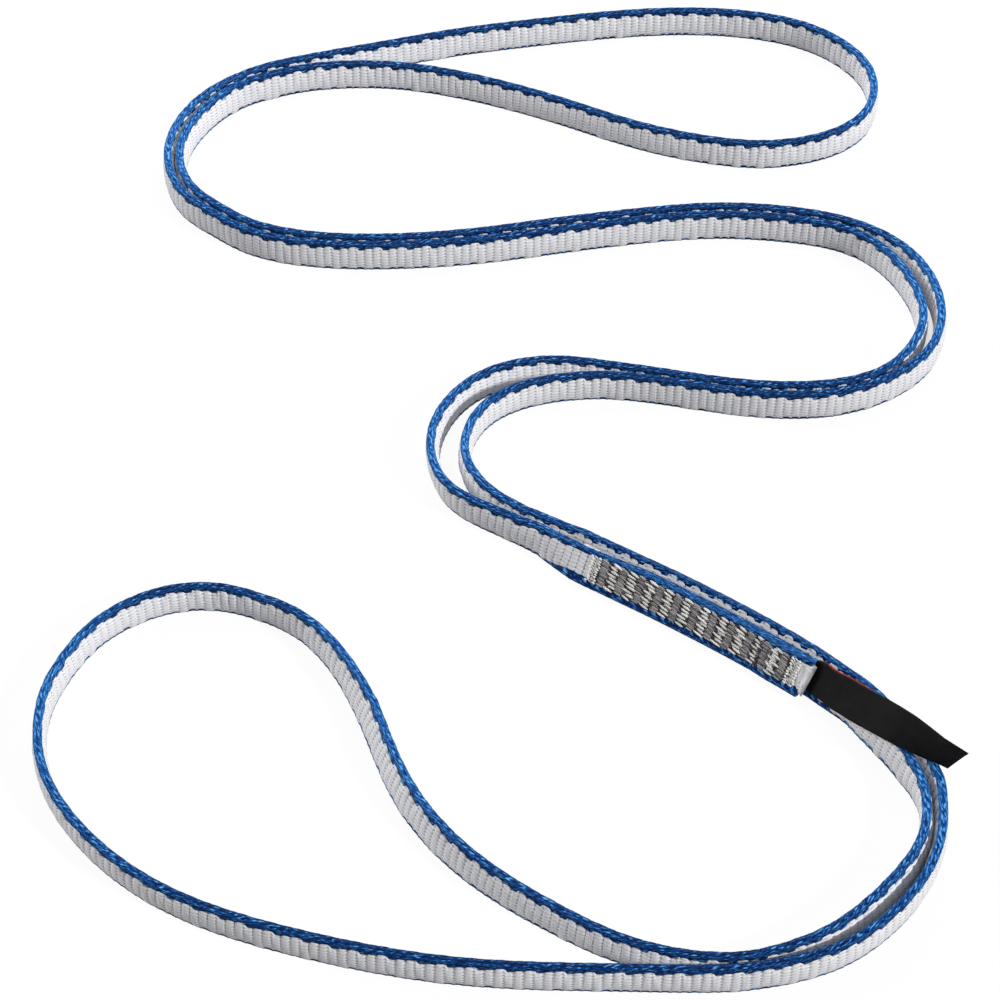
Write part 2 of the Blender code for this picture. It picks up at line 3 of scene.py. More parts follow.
import bpy
import numpy as np
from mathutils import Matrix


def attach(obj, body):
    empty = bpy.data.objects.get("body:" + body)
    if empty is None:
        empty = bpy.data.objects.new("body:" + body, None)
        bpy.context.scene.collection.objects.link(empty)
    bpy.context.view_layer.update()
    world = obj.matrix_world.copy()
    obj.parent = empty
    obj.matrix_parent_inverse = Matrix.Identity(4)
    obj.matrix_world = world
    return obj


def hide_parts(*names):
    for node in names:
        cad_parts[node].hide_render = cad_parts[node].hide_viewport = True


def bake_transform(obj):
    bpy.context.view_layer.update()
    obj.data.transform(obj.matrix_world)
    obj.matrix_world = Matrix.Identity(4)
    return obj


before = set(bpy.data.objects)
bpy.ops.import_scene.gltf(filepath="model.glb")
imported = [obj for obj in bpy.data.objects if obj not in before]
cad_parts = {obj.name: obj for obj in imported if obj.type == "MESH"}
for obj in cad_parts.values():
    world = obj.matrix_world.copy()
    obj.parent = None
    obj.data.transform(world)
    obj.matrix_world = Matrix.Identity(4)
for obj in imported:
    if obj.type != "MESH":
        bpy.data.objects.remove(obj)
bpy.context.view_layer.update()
print("frame loaded with", len(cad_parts), "nodes")

# The camera stands in front of the sling and looks down at it
cameraSizes = {
    "aim": (-0.00459, -0.02058, 0.0003),
    "elevation": 50.3,
    "distance": 0.8073,
    "lens": 103.3,
    "sensor": 36.0,
    "nearest": 0.01,
    "farthest": 20.0,
}


def makeCamera(sizes):
    data = bpy.data.cameras.new("slingCamera")
    data.lens = sizes["lens"]
    data.sensor_width = sizes["sensor"]
    data.clip_start = sizes["nearest"]
    data.clip_end = sizes["farthest"]
    camera = bpy.data.objects.new("slingCamera", data)
    elevation = math.radians(sizes["elevation"])
    back = np.array([0.0, -math.cos(elevation), math.sin(elevation)])
    camera.location = np.array(sizes["aim"]) + back * sizes["distance"]
    camera.rotation_euler = (math.pi / 2.0 - elevation, 0.0, 0.0)
    bpy.context.scene.collection.objects.link(camera)
    bpy.context.scene.camera = camera


makeCamera(cameraSizes)
print("camera placed")

# The tape stands on its lower edge, so its width is its height here
tapeSizes = {
    "width": 0.0100,
    "thickness": 0.0024,
    "ribPitch": 0.00242,
    "loopRoom": 0.0040,
    "samplesPerRib": 8,
    "samplesPerRow": 40,
}

# The splice, where the tape's two ends are lapped and pressed flat by the stitching
spliceSizes = {
    "length": 0.0735,
    "sewnThickness": 0.0018,
    "pressedRamp": 0.0120,
    "layerGap": 0.0003,
    "hotCutLength": 0.0040,
    "upperEdgeShort": 0.0006,
    "lowerEdgeShort": 0.0014,
    "labelSewnLength": 0.0112,
    "labelPressed": 0.0005,
    "labelGap": 0.0003,
    "labelLapRamp": 0.0050,
}

# The route is in millimetres and degrees, as in the part's source
millimetre = 0.001

# Each row is a point midway between the two strands, the opening between them and their lean
doubledRun = {
    "lower_right_bend": [
        (42.9, -175.1, 1.6, 0.0),
        (54.9, -175.0, 0.9, 0.0),
        (66.8, -172.5, 1.7, 0.0),
        (78.6, -167.7, 3.0, 0.0),
        (88.8, -160.2, 3.7, 0.0),
        (97.3, -151.1, 3.5, 0.0),
        (103.8, -140.1, 2.3, 0.0),
        (106.1, -128.0, 1.9, 0.0),
        (105.2, -121.0, 2.3, 3.0),
        (102.3, -115.0, 2.2, 8.0),
        (97.8, -107.7, 2.2, 14.0),
        (92.5, -101.0, 1.7, 21.0),
        (87.4, -95.2, 0.8, 28.0),
        (82.6, -91.3, 0.7, 32.0),
    ],
    "splice": [
        (77.7, -87.1, 0.7, 34.0),
        (67.3, -79.0, 1.0, 34.0),
        (56.9, -71.6, 1.1, 34.0),
        (46.3, -64.5, 1.1, 34.0),
        (35.6, -57.7, 1.0, 34.0),
        (24.9, -51.2, 0.9, 34.0),
    ],
    "left_bend": [
        (15.5, -44.7, 1.2, 26.0),
        (10.6, -40.8, 1.3, 14.0),
        (1.2, -33.8, 1.5, 2.0),
        (-8.4, -27.3, 3.2, 0.0),
        (-15.8, -20.0, 6.2, 0.0),
        (-19.3, -10.9, 7.2, 0.0),
        (-18.6, -1.0, 7.5, 0.0),
        (-13.6, 9.0, 7.1, 0.0),
        (-6.3, 15.6, 6.9, 0.0),
        (3.1, 19.6, 6.0, 0.0),
        (14.4, 21.2, 4.2, 0.0),
    ],
    "lower_run": [
        (25.6, 20.7, 1.8, 0.0),
        (37.2, 19.0, 0.9, 0.0),
        (60.8, 14.5, 0.8, 0.0),
        (84.9, 13.0, 1.2, 0.0),
    ],
    "right_bend": [
        (97.2, 15.2, 0.9, 0.0),
        (108.4, 20.5, 0.9, 0.0),
        (117.4, 29.8, 2.6, 0.0),
        (121.9, 41.6, 2.9, 0.0),
        (120.9, 54.6, 3.5, 0.0),
        (115.5, 66.6, 3.2, 0.0),
        (106.7, 75.7, 1.6, 0.0),
        (95.6, 81.2, 1.0, 0.0),
    ],
    "upper_run": [
        (84.0, 83.9, 1.1, 0.0),
        (59.6, 85.7, 1.1, 0.0),
        (35.5, 83.2, 0.9, 0.0),
        (11.8, 79.2, 1.2, 0.0),
        (-11.8, 75.0, 1.0, 0.0),
        (-35.4, 72.8, 0.8, 0.0),
    ],
    "far_left_bend": [
        (-59.2, 73.4, 0.8, 0.0),
        (-70.7, 75.5, 0.9, 0.0),
        (-81.4, 79.6, 0.8, 0.0),
        (-91.0, 86.4, 0.8, 0.0),
        (-99.4, 94.2, 1.1, 0.0),
        (-104.3, 104.5, 1.2, 0.0),
        (-105.1, 115.6, 1.3, 0.0),
        (-101.9, 126.5, 1.5, 0.0),
        (-95.8, 136.1, 1.4, 0.0),
        (-87.3, 143.7, 1.0, 0.0),
        (-77.0, 148.9, 1.6, 0.0),
        (-65.8, 152.3, 2.0, 0.0),
        (-54.5, 154.5, 3.7, 0.0),
    ],
}

# The single loops in the tape's own order: a point of the lower edge and its lean
topLoop = {
    "top_loop_far_side": [
        (-43.0, 160.6, 0.0),
        (-19.8, 166.6, 0.0),
        (3.8, 171.1, 0.0),
        (27.5, 174.9, 0.0),
        (51.4, 177.0, 0.0),
    ],
    "top_loop_end": [
        (75.3, 175.5, 0.0),
        (97.8, 167.4, 0.0),
        (106.6, 159.5, 0.0),
        (112.3, 149.0, 0.0),
        (112.5, 137.2, 0.0),
        (109.0, 128.8, 0.0),
        (101.5, 121.7, 0.0),
        (88.4, 116.4, 0.0),
    ],
    "top_loop_near_side": [
        (75.6, 114.9, 0.0),
        (63.1, 116.3, 0.0),
        (38.3, 123.5, 0.0),
        (13.6, 134.9, 0.0),
        (-11.4, 144.8, 0.0),
        (-36.6, 150.9, 0.0),
    ],
}
bottomLoop = {
    "bottom_loop_near_side": [
        (24.5, -176.8, 0.0),
        (-14.7, -175.0, 0.0),
        (-54.4, -167.1, 0.0),
        (-90.1, -153.2, 0.0),
        (-112.1, -134.7, 0.0),
        (-123.1, -115.7, 0.0),
        (-125.1, -103.1, 0.0),
        (-123.6, -90.2, 0.0),
        (-121.0, -83.6, 0.0),
        (-115.8, -74.3, 0.0),
        (-101.4, -62.3, 0.0),
        (-91.1, -59.0, 0.0),
        (-80.6, -58.9, 0.0),
    ],
    "bottom_loop_far_side": [
        (-70.0, -62.1, 0.0),
        (-59.1, -68.4, -4.0),
        (-49.6, -79.6, -10.0),
        (-40.8, -97.9, -19.0),
        (-30.6, -123.3, -17.0),
        (-12.1, -146.2, -12.0),
        (8.8, -160.7, -7.0),
        (29.0, -170.3, -3.0),
    ],
}

# Where one strand alone tips a little, as cloth does: the stretch, how far past its start, how
# far it reaches each way and by how many degrees
tips = [
    ("lower_right_bend_a", 0.0635, 0.042, -9.0),
    ("left_bend_a", 0.0560, 0.034, -8.0),
]


def rightOf(direction):
    right = np.stack([direction[..., 1], -direction[..., 0]], axis=-1)
    return right / np.linalg.norm(right, axis=-1, keepdims=True)


def chordPlaces(points):
    chords = np.linalg.norm(np.diff(points, axis=0), axis=1)
    return np.concatenate([[0.0], np.cumsum(chords)])


def smoothCurve(places, values, wanted):
    # Natural cubic spline: bends meet the slopes' changes, and both ends run out straight
    step = np.diff(places)
    slope = np.diff(values, axis=0) / step[:, None]
    inner = np.diag(2.0 * (step[:-1] + step[1:]))
    inner += np.diag(step[1:-1], 1) + np.diag(step[1:-1], -1)
    bend = np.zeros_like(values)
    bend[1:-1] = np.linalg.solve(inner, 6.0 * np.diff(slope, axis=0))
    i = np.clip(np.searchsorted(places, wanted, side="right") - 1, 0, len(step) - 1)
    t = (wanted - places[i])[:, None]
    h = step[i][:, None]
    start = slope[i] - h * (2.0 * bend[i] + bend[i + 1]) / 6.0
    return values[i] + t * (start + t * (bend[i] / 2.0 + t * (bend[i + 1] - bend[i]) / (6.0 * h)))


def strandRows():
    # Each strand lies half a thickness and half the opening to its side of the middle line
    table = np.array([row for rows in doubledRun.values() for row in rows])
    middle = table[:, :2] * millimetre
    opening = table[:, 2] * millimetre
    lean = np.radians(table[:, 3])
    right = rightOf(np.gradient(middle, chordPlaces(middle), axis=0))
    half = (tapeSizes["thickness"] + opening) / np.cos(lean) / 2.0
    strandA = np.column_stack([middle - right * half[:, None], lean, opening])
    strandB = np.column_stack([middle + right * half[:, None], -lean, opening])[::-1]
    rows = []
    starts = {}
    for name, stretch in doubledRun.items():
        starts[name + "_a"] = len(rows)
        rows += list(strandA[len(rows) : len(rows) + len(stretch)])
    for name, stretch in topLoop.items():
        starts[name] = len(rows)
        rows += singleRows(stretch)
    done = 0
    for name, stretch in reversed(doubledRun.items()):
        starts[name + "_b"] = len(rows) - (done > 0)
        rows += list(strandB[done : done + len(stretch)])
        done += len(stretch)
    for name, stretch in bottomLoop.items():
        starts[name] = len(rows)
        rows += singleRows(stretch)
    return np.array(rows), starts


def singleRows(stretch):
    # Rows of a single loop in metres and radians, with its open room beside it
    x, y, lean = np.array(stretch).T
    room = np.full(len(x), tapeSizes["loopRoom"])
    return list(np.column_stack([x * millimetre, y * millimetre, np.radians(lean), room]))


class TapeLine:
    # The closed line of the tape's lower edge, read by the distance along it

    def __init__(self):
        rows, starts = strandRows()
        perRow = tapeSizes["samplesPerRow"]
        closed = np.vstack([rows, rows, rows])
        places = chordPlaces(closed[:, :2])
        marks = np.arange(len(rows) * perRow + 1) / perRow + len(rows)
        wanted = np.interp(marks, np.arange(len(places)), places)
        self.points = smoothCurve(places, closed[:, :2], wanted)
        self.leans = np.interp(wanted, places, closed[:, 2])
        self.rooms = np.interp(wanted, places, closed[:, 3])
        self.along = chordPlaces(self.points)
        self.length = self.along[-1]
        self.starts = {name: self.along[row * perRow] for name, row in starts.items()}
        directions = np.gradient(self.points, self.along, axis=0)
        directions[0] = directions[-1] = directions[0] + directions[-1]
        self.right = rightOf(directions)
        self.spliceStart = self.starts["splice_a"]
        self.spliceEnd = self.spliceStart + spliceSizes["length"]
        reach = self.right * tapeSizes["thickness"] / 2.0
        outline = np.vstack([self.points + reach, self.points - reach])
        self.centre = (outline.min(axis=0) + outline.max(axis=0)) / 2.0
        self.points = self.points - self.centre

    def read(self, values, places):
        return np.interp(np.mod(places, self.length), self.along, values)

    def tip(self, places):
        # How far the tape tips besides its lean: each tip is a smooth hump along the tape
        total = np.zeros(np.shape(places))
        for name, further, reach, degrees in tips:
            beyond = np.mod(places, self.length) - self.starts[name] - further
            share = np.clip(beyond / reach, -1.0, 1.0)
            total = total + math.radians(degrees) * (0.5 + 0.5 * np.cos(math.pi * share))
        return total

    def frame(self, places):
        # Lower edge, direction, the way through the tape and the way up its width. Where the tape
        # tips, its upper edge keeps its place and its foot moves.
        straight = self.read(self.leans, places)
        lean = straight + self.tip(places)
        right = np.stack([self.read(self.right[:, k], places) for k in (0, 1)], axis=-1)
        right /= np.linalg.norm(right, axis=-1, keepdims=True)
        lift = np.abs(np.sin(lean)) * tapeSizes["thickness"] / 2.0
        back = (np.sin(straight) - np.sin(lean)) * tapeSizes["width"]
        flat = [self.read(self.points[:, k], places) + right[..., k] * back for k in (0, 1)]
        base = np.stack([*flat, lift], axis=-1)
        direction = np.stack([-right[..., 1], right[..., 0], np.zeros_like(lean)], axis=-1)
        cosine, sine = np.cos(lean), np.sin(lean)
        through = np.stack([right[..., 0] * cosine, right[..., 1] * cosine, -sine], axis=-1)
        up = np.stack([right[..., 0] * sine, right[..., 1] * sine, cosine], axis=-1)
        return base, direction, through, up

    def point(self, places, across, heights):
        # point = lower edge + through x across + up x height
        places, across, heights = np.broadcast_arrays(places, across, heights)
        base, _, through, up = self.frame(places)
        return base + through * across[..., None] + up * heights[..., None]


tape = TapeLine()


def pressed(places):
    # 1 where the stitching presses the tape, falling to 0 past each end of the splice
    near = 1.0 - (places - tape.spliceEnd) / spliceSizes["pressedRamp"]
    far = 1.0 + (places - tape.length - tape.spliceStart) / spliceSizes["pressedRamp"]
    return np.clip(np.maximum(near, far), 0.0, 1.0)


def tapeThickness(places):
    loose = tapeSizes["thickness"]
    return loose - (loose - spliceSizes["sewnThickness"]) * pressed(places)


def layerGap(places):
    # The space between the two layers, wider where the label's end lies between them
    beyond = places - tape.spliceStart - spliceSizes["labelSewnLength"]
    lapped = np.clip(1.0 - beyond / spliceSizes["labelLapRamp"], 0.0, 1.0)
    widest = spliceSizes["labelPressed"] + 2.0 * spliceSizes["labelGap"]
    return spliceSizes["layerGap"] + (widest - spliceSizes["layerGap"]) * lapped


def tapeMiddle(places):
    # How far through from the line the tape's own middle lies: the near layer is moved forward
    sewn = spliceSizes["sewnThickness"]
    forward = tapeSizes["thickness"] / 2.0 - (1.5 * sewn + layerGap(places))
    nearLayer = pressed(places) * forward
    farLayer = (tapeSizes["thickness"] - tapeThickness(places)) / 2.0
    return np.where(places < tape.spliceEnd + spliceSizes["pressedRamp"], nearLayer, farLayer)


def gapMiddle(places):
    sewn = spliceSizes["sewnThickness"]
    return tapeSizes["thickness"] / 2.0 - sewn - layerGap(places) / 2.0


print("tape line", round(tape.length, 4), "m round")


# Meshes


def facesOfTube(rings, corners):
    # Quads between neighbouring rings
    index = np.arange(rings * corners).reshape(rings, corners)
    after = np.roll(index, -1, axis=1)
    quads = np.stack([index[:-1], after[:-1], after[1:], index[1:]], axis=-1)
    return quads.reshape(-1, 4)


def meshPiece(name, points, faces, caps, uv, values, material):
    # One object from whole arrays; values are numbers kept on the points for the material
    mesh = bpy.data.meshes.new(name)
    mesh.vertices.add(len(points))
    mesh.vertices.foreach_set("co", points.astype(np.float32).ravel())
    corners = np.concatenate([faces.ravel(), *caps])
    sizes = np.concatenate([np.full(len(faces), 4), [len(cap) for cap in caps]]).astype(np.int32)
    mesh.loops.add(len(corners))
    mesh.loops.foreach_set("vertex_index", corners.astype(np.int32))
    mesh.polygons.add(len(sizes))
    starts = np.concatenate([[0], np.cumsum(sizes)[:-1]]).astype(np.int32)
    mesh.polygons.foreach_set("loop_start", starts)
    mesh.update(calc_edges=True)
    mesh.validate()
    layer = mesh.uv_layers.new(name="weave")
    layer.data.foreach_set("uv", uv.astype(np.float32).ravel())
    for key, numbers in values.items():
        attribute = mesh.attributes.new(key, "FLOAT", "POINT")
        attribute.data.foreach_set("value", numbers.astype(np.float32).ravel())
    mesh.polygons.foreach_set("use_smooth", np.full(len(sizes), True))
    mesh.materials.append(material)
    piece = bpy.data.objects.new(name, mesh)
    bpy.context.scene.collection.objects.link(piece)
    return piece


def tubePiece(name, points, around, along, values, material):
    # A closed tube through rings of points: around and along give its flat map
    rings, corners = points.shape[:2]
    middle = points.mean(axis=1)
    side = np.cross(points[1, 0] - points[0, 0], points[0, 1] - points[0, 0])
    if np.dot(side, points[0, 0] - middle[0]) > 0.0:
        points = points[:, ::-1]
        around = around[:, ::-1]
        values = {key: numbers[:, ::-1] for key, numbers in values.items()}
    faces = facesOfTube(rings, corners)
    turned = np.roll(around, -1, axis=1)
    turned[:, -1] = around[:, -1] + (around[:, -1] - around[:, -2])
    lengthwise = np.broadcast_to(along[:, None], around.shape)
    rounds = np.stack([around[:-1], turned[:-1], turned[1:], around[1:]], axis=-1)
    places = np.stack([lengthwise[:-1], lengthwise[:-1], lengthwise[1:], lengthwise[1:]], axis=-1)
    uv = np.stack([places.reshape(-1), rounds.reshape(-1)], axis=-1)
    caps = [np.arange(corners)[::-1], np.arange(corners) + (rings - 1) * corners]
    capPlaces = np.concatenate([lengthwise[0], lengthwise[-1]])
    capRounds = np.concatenate([around[0][::-1], around[-1]])
    uv = np.vstack([uv, np.stack([capPlaces, capRounds], axis=-1)])
    flat = {key: numbers.reshape(-1) for key, numbers in values.items()}
    return meshPiece(name, points.reshape(-1, 3), faces, caps, uv, flat, material)


# A stroke of thread: its corners, where its rings lie as shares of a half turn from end to end,
# and how blunt its ends are
strokeShape = {
    "corners": 8,
    "ringShares": [0.03, 0.17, 0.33, 0.50, 0.67, 0.83, 0.97],
    "bluntness": 0.8,
}


def grainPiece(name, centres, halves, tilts, material, shades=None):
    # Many small rounded strokes of thread on the tape: each lies along the tape and is tilted
    # against it. centres: place, across, height. halves: along, proud, height.
    turns = np.linspace(0.0, 2.0 * math.pi, strokeShape["corners"], endpoint=False)
    lats = np.array(strokeShape["ringShares"]) * math.pi
    bulge = np.sin(lats) ** strokeShape["bluntness"]
    reach = -np.cos(lats)
    count = len(centres)
    s = reach[None, :, None] * halves[:, None, None, 0] * np.ones((1, 1, len(turns)))
    a = bulge[None, :, None] * np.cos(turns)[None, None, :] * halves[:, None, None, 1]
    w = bulge[None, :, None] * np.sin(turns)[None, None, :] * halves[:, None, None, 2]
    cosine = np.cos(tilts)[:, None, None]
    sine = np.sin(tilts)[:, None, None]
    placed = centres[:, None, None, 0] + s * cosine - w * sine
    height = centres[:, None, None, 2] + s * sine + w * cosine
    across = centres[:, None, None, 1] + a
    points = tape.point(placed, across, height)
    rings, corners = len(lats), len(turns)
    one = facesOfTube(rings, corners)
    offsets = np.arange(count) * rings * corners
    faces = (one[None, :, :] + offsets[:, None, None]).reshape(-1, 4)
    ends = [np.arange(corners)[::-1], np.arange(corners) + (rings - 1) * corners]
    caps = [end + offset for offset in offsets for end in ends]
    v = np.broadcast_to(turns[None, None, :] / (2.0 * math.pi), placed.shape)
    u = np.broadcast_to(s / millimetre, placed.shape)
    flatUv = np.stack([u.reshape(-1), v.reshape(-1)], axis=-1)
    uv = np.vstack([flatUv[faces.ravel()]] + [flatUv[cap] for cap in caps])
    shade = np.ones(count) if shades is None else shades
    values = {"crest": np.broadcast_to(shade[:, None, None], placed.shape)}
    return meshPiece(name, points.reshape(-1, 3), faces, caps, uv, values, material)


# Materials


class Wire:
    # A socket of a node tree, with the sums that can be made from it

    def __init__(self, tree, socket):
        self.tree = tree
        self.socket = socket

    def node(self, kind, settings, inputs, output=0):
        made = self.tree.nodes.new(kind)
        for key, value in settings.items():
            setattr(made, key, value)
        for key, value in inputs.items():
            self.join(value, made.inputs[key])
        return Wire(self.tree, made.outputs[output])

    def join(self, value, socket):
        if isinstance(value, Wire):
            self.tree.links.new(value.socket, socket)
        else:
            socket.default_value = value

    def math(self, operation, *numbers, clamp=False):
        settings = {"operation": operation, "use_clamp": clamp}
        return self.node("ShaderNodeMath", settings, dict(enumerate(numbers)))

    def __add__(self, other):
        return self.math("ADD", self, other)

    def __radd__(self, other):
        return self.math("ADD", other, self)

    def __sub__(self, other):
        return self.math("SUBTRACT", self, other)

    def __rsub__(self, other):
        return self.math("SUBTRACT", other, self)

    def __mul__(self, other):
        return self.math("MULTIPLY", self, other)

    def __rmul__(self, other):
        return self.math("MULTIPLY", other, self)

    def __truediv__(self, other):
        return self.math("DIVIDE", self, other)

    def __rtruediv__(self, other):
        return self.math("DIVIDE", other, self)

    def __pow__(self, other):
        return self.math("POWER", self, other)

    def __rpow__(self, other):
        return self.math("POWER", other, self)

    def wave(self):
        # 0 at whole numbers and 1 halfway between them
        return self.math("ABSOLUTE", self.math("SINE", self * math.pi))

    def limited(self):
        return self.math("ADD", self, 0.0, clamp=True)

    def blendColours(self, first, second):
        inputs = {0: self, 6: first, 7: second}
        settings = {"data_type": "RGBA", "clamp_factor": True}
        return self.node("ShaderNodeMix", settings, inputs, output=2)


class Finish:
    # A material with its shader, its flat map and its numbers from the mesh

    def __init__(self, name, roughness, **constants):
        self.material = bpy.data.materials.new(name)
        self.material.use_nodes = True
        self.tree = self.material.node_tree
        self.shader = self.tree.nodes["Principled BSDF"]
        self.shader.inputs["Roughness"].default_value = roughness
        for key, value in constants.items():
            self.shader.inputs[key.replace("_", " ")].default_value = value
        start = self.tree.nodes.new("ShaderNodeUVMap")
        start.uv_map = "weave"
        self.map = Wire(self.tree, start.outputs[0])
        split = self.map.node("ShaderNodeSeparateXYZ", {}, {0: self.map})
        self.along = split
        self.round = Wire(self.tree, split.socket.node.outputs[1])

    def number(self, name):
        settings = {"attribute_name": name, "attribute_type": "GEOMETRY"}
        return self.map.node("ShaderNodeAttribute", settings, {}, output=2)

    def noise(self, along, around, detail=2.0, slant=0.0):
        # Noise on the flat map, with a scale of its own each way, and slanted round the section
        slanted = self.round + self.along * slant
        vector = self.map.node("ShaderNodeCombineXYZ", {}, {0: self.along * along, 1: slanted * around})
        inputs = {"Vector": vector, "Scale": 1.0, "Detail": detail}
        return self.map.node("ShaderNodeTexNoise", {"noise_dimensions": "3D"}, inputs)

    def show(self, colour, height, bump, roughness):
        self.map.join(colour, self.shader.inputs["Base Color"])
        inputs = {"Height": height, "Strength": bump[0], "Distance": bump[1]}
        raised = self.map.node("ShaderNodeBump", {}, inputs)
        self.map.join(raised, self.shader.inputs["Normal"])
        self.map.join(roughness, self.shader.inputs["Roughness"])
        return self.material


# The flat map counts ribs along the tape and millimetres round its section. A noise is given as
# its scale along, its scale round and its detail, and a bump as its strength and its distance.
groundLook = {
    "yarn": (0.91, 0.912, 0.94, 1.0),
    # gap is the white yarn's dark end: the painted shade and the darker random tone blend towards it
    "gap": (0.16, 0.16, 0.18, 1.0),
    "rowPitch": 1.2,
    "filaments": (1.3, 1.0 / 0.11, 3.0),
    "patches": (0.35, 0.6, 2.0),
    "grains": (5.0, 2.4, 1.0),
    "borderWidth": 0.72,
    "stitchWidth": 0.55,
    "stitchShadeDepth": 0.78,
    "gleamFrom": 0.72,
    "gleamRise": 4.0,
    "gleam": 0.26,
    "lineShadeDepth": 0.27,
    "valleyShadeDepth": 0.08,
    "spliceShadeDepth": 0.30,
    "plainShade": 0.86,
    "filamentShade": 0.30,
    "patchShade": 0.14,
    "grainShade": 0.36,
    "lineHeight": 0.35,
    "stitchHeight": 0.8,
    "filamentHeight": 0.3,
    "grainHeight": 0.5,
    "bump": (0.6, 0.00020),
    "leastRoughness": 0.52,
    "filamentRoughness": 0.2,
}


def groundFinish(look):
    # Rows of weft run along the tape. At a rib's border each row has a dot of painted shade where the
    # weft binds, and a painted highlight over it, half a row higher at every other border.
    made = Finish("groundWhiteYarn", 0.62, Specular_IOR_Level=0.25)
    crest = made.number("crest")
    border = made.along.math("FLOOR", made.along + 0.5)
    row = (made.round / look["rowPitch"] + border * 0.5).wave()
    line = (made.round / look["rowPitch"] + 0.25).wave()
    atBorder = (1.0 - made.along.wave() / look["borderWidth"]).limited()
    stitch = atBorder * (1.0 - row / look["stitchWidth"]).limited()
    gleam = atBorder * ((row - look["gleamFrom"]) * look["gleamRise"]).limited()
    filament = made.noise(*look["filaments"])
    patchy = made.noise(*look["patches"])
    grain = made.noise(*look["grains"])
    # Painted shade: darker in the grooves between weft rows and in the valleys between ribs
    loss = stitch * look["stitchShadeDepth"] + (1.0 - line) ** 2.0 * look["lineShadeDepth"]
    # The strand that stands behind the splice is darkened as painted shade
    loss = loss + (1.0 - crest) * look["valleyShadeDepth"] + made.number("behind") * look["spliceShadeDepth"]
    shade = look["plainShade"] - loss + gleam * look["gleam"]
    shade = shade + (filament - 0.5) * look["filamentShade"]
    shade = shade + (patchy - 0.5) * look["patchShade"] + (grain - 0.5) * look["grainShade"]
    colour = shade.limited().blendColours(look["gap"], look["yarn"])
    height = line * look["lineHeight"] - stitch * look["stitchHeight"]
    height = height + filament * look["filamentHeight"] + grain * look["grainHeight"]
    roughness = look["leastRoughness"] + filament * look["filamentRoughness"]
    return made.show(colour, height, look["bump"], roughness)


# Colours of the blue yarn: painted shade where it dives, its floats painted lit on the top and shaded
# on the sides, and a painted glint
blueLook = {
    "pitShade": (0.0009, 0.0085, 0.045, 1.0),
    "shadedSideFloat": (0.0022, 0.037, 0.185, 1.0),
    "litTopFloat": (0.0062, 0.086, 0.345, 1.0),
    "glint": (0.105, 0.370, 0.760, 1.0),
    "yarnWidth": 0.417,
    "yarnShift": 0.37,
    "filaments": (1.1, 1.0 / 0.15, 2.0),
    "strokes": (1.4, 4.8, 1.0),
    "mottles": (0.8, 1.0, 2.0),
    "slant": 0.22,
    "leastBody": 0.45,
    "bodyBluntness": 0.5,
    "sewnFlat": 0.90,
    "bodyShade": 0.75,
    "filamentShade": 1.2,
    "strokeShade": 1.9,
    "mottleShade": 0.3,
    "plainShade": 0.04,
    "sheenMiddle": 0.42,
    "sheenDepth": 0.62,
    "glintStrokes": 1.9,
    "glintFilament": 1.5,
    "glintBody": 0.3,
    "glintSheen": 0.22,
    "glintFrom": 2.10,
    "glintRise": 3.0,
    "filamentHeight": 0.5,
    "bodyHeight": 0.6,
    "bump": (0.6, 0.00016),
    "leastRoughness": 0.34,
    "filamentRoughness": 0.25,
}


def blueFinish(look):
    # Each yarn floats over one rib and dives, a part of a rib after its neighbour; the dives and the
    # grooves between yarns are painted in shade. The top of the edge is painted lit and its sides
    # painted in shade, and slanting strokes of filaments lie over all of it.
    made = Finish("edgeBlueYarn", 0.42, Specular_IOR_Level=0.05)
    sewn = made.number("sewn")
    across = made.round / look["yarnWidth"]
    yarn = across.math("FLOOR", across)
    dive = (made.along + yarn * look["yarnShift"]).wave()
    dive = dive + (1.0 - dive) * sewn * look["sewnFlat"]
    filament = made.noise(*look["filaments"], look["slant"])
    strokes = made.noise(*look["strokes"], look["slant"])
    mottle = made.noise(*look["mottles"])
    # body falls where the yarn dives and between yarns, and the colour falls to the painted shade there
    body = look["leastBody"] + dive * (1.0 - look["leastBody"])
    body = across.wave() ** look["bodyBluntness"] * body
    # Painted sheen: the colour is paler where the tape runs towards the viewer
    sheen = made.number("sheen")
    base = look["plainShade"] + body * look["bodyShade"] + (filament - 0.5) * look["filamentShade"]
    base = base + (strokes - 0.5) * look["strokeShade"] + (mottle - 0.5) * look["mottleShade"]
    base = base + (sheen - look["sheenMiddle"]) * look["sheenDepth"]
    # Painted light: the top of the upper edge is lit, its sides and the whole lower edge are in shade
    floats = made.number("onTop").blendColours(look["shadedSideFloat"], look["litTopFloat"])
    dark = base.limited().blendColours(look["pitShade"], floats)
    # Painted highlight: a glint where the strokes, the filaments and the yarn's body are high
    bright = strokes * look["glintStrokes"] + filament * look["glintFilament"]
    bright = bright + body * look["glintBody"] + sheen * look["glintSheen"]
    glint = ((bright - look["glintFrom"]) * look["glintRise"]).limited()
    colour = glint.blendColours(dark, look["glint"])
    height = filament * look["filamentHeight"] + body * look["bodyHeight"]
    roughness = look["leastRoughness"] + filament * look["filamentRoughness"]
    return made.show(colour, height, look["bump"], roughness)


threadLooks = {
    "tackGrey": {"dark": (0.022, 0.018, 0.018, 1.0), "light": (0.460, 0.435, 0.445, 1.0), "twist": 5.0},
    "lockWhite": {"dark": (0.24, 0.235, 0.22, 1.0), "light": (0.88, 0.875, 0.84, 1.0), "twist": 4.0},
}
# What both threads share: their fuzz, and how much each thing brightens a stroke
threadShape = {
    "fuzz": (2.6, 9.0, 3.0),
    "twistShade": 0.25,
    "fuzzShade": 1.5,
    "crestShade": 0.5,
    "plainShade": 0.08,
    "bump": (0.5, 0.00012),
    "leastRoughness": 0.5,
    "fuzzRoughness": 0.25,
}


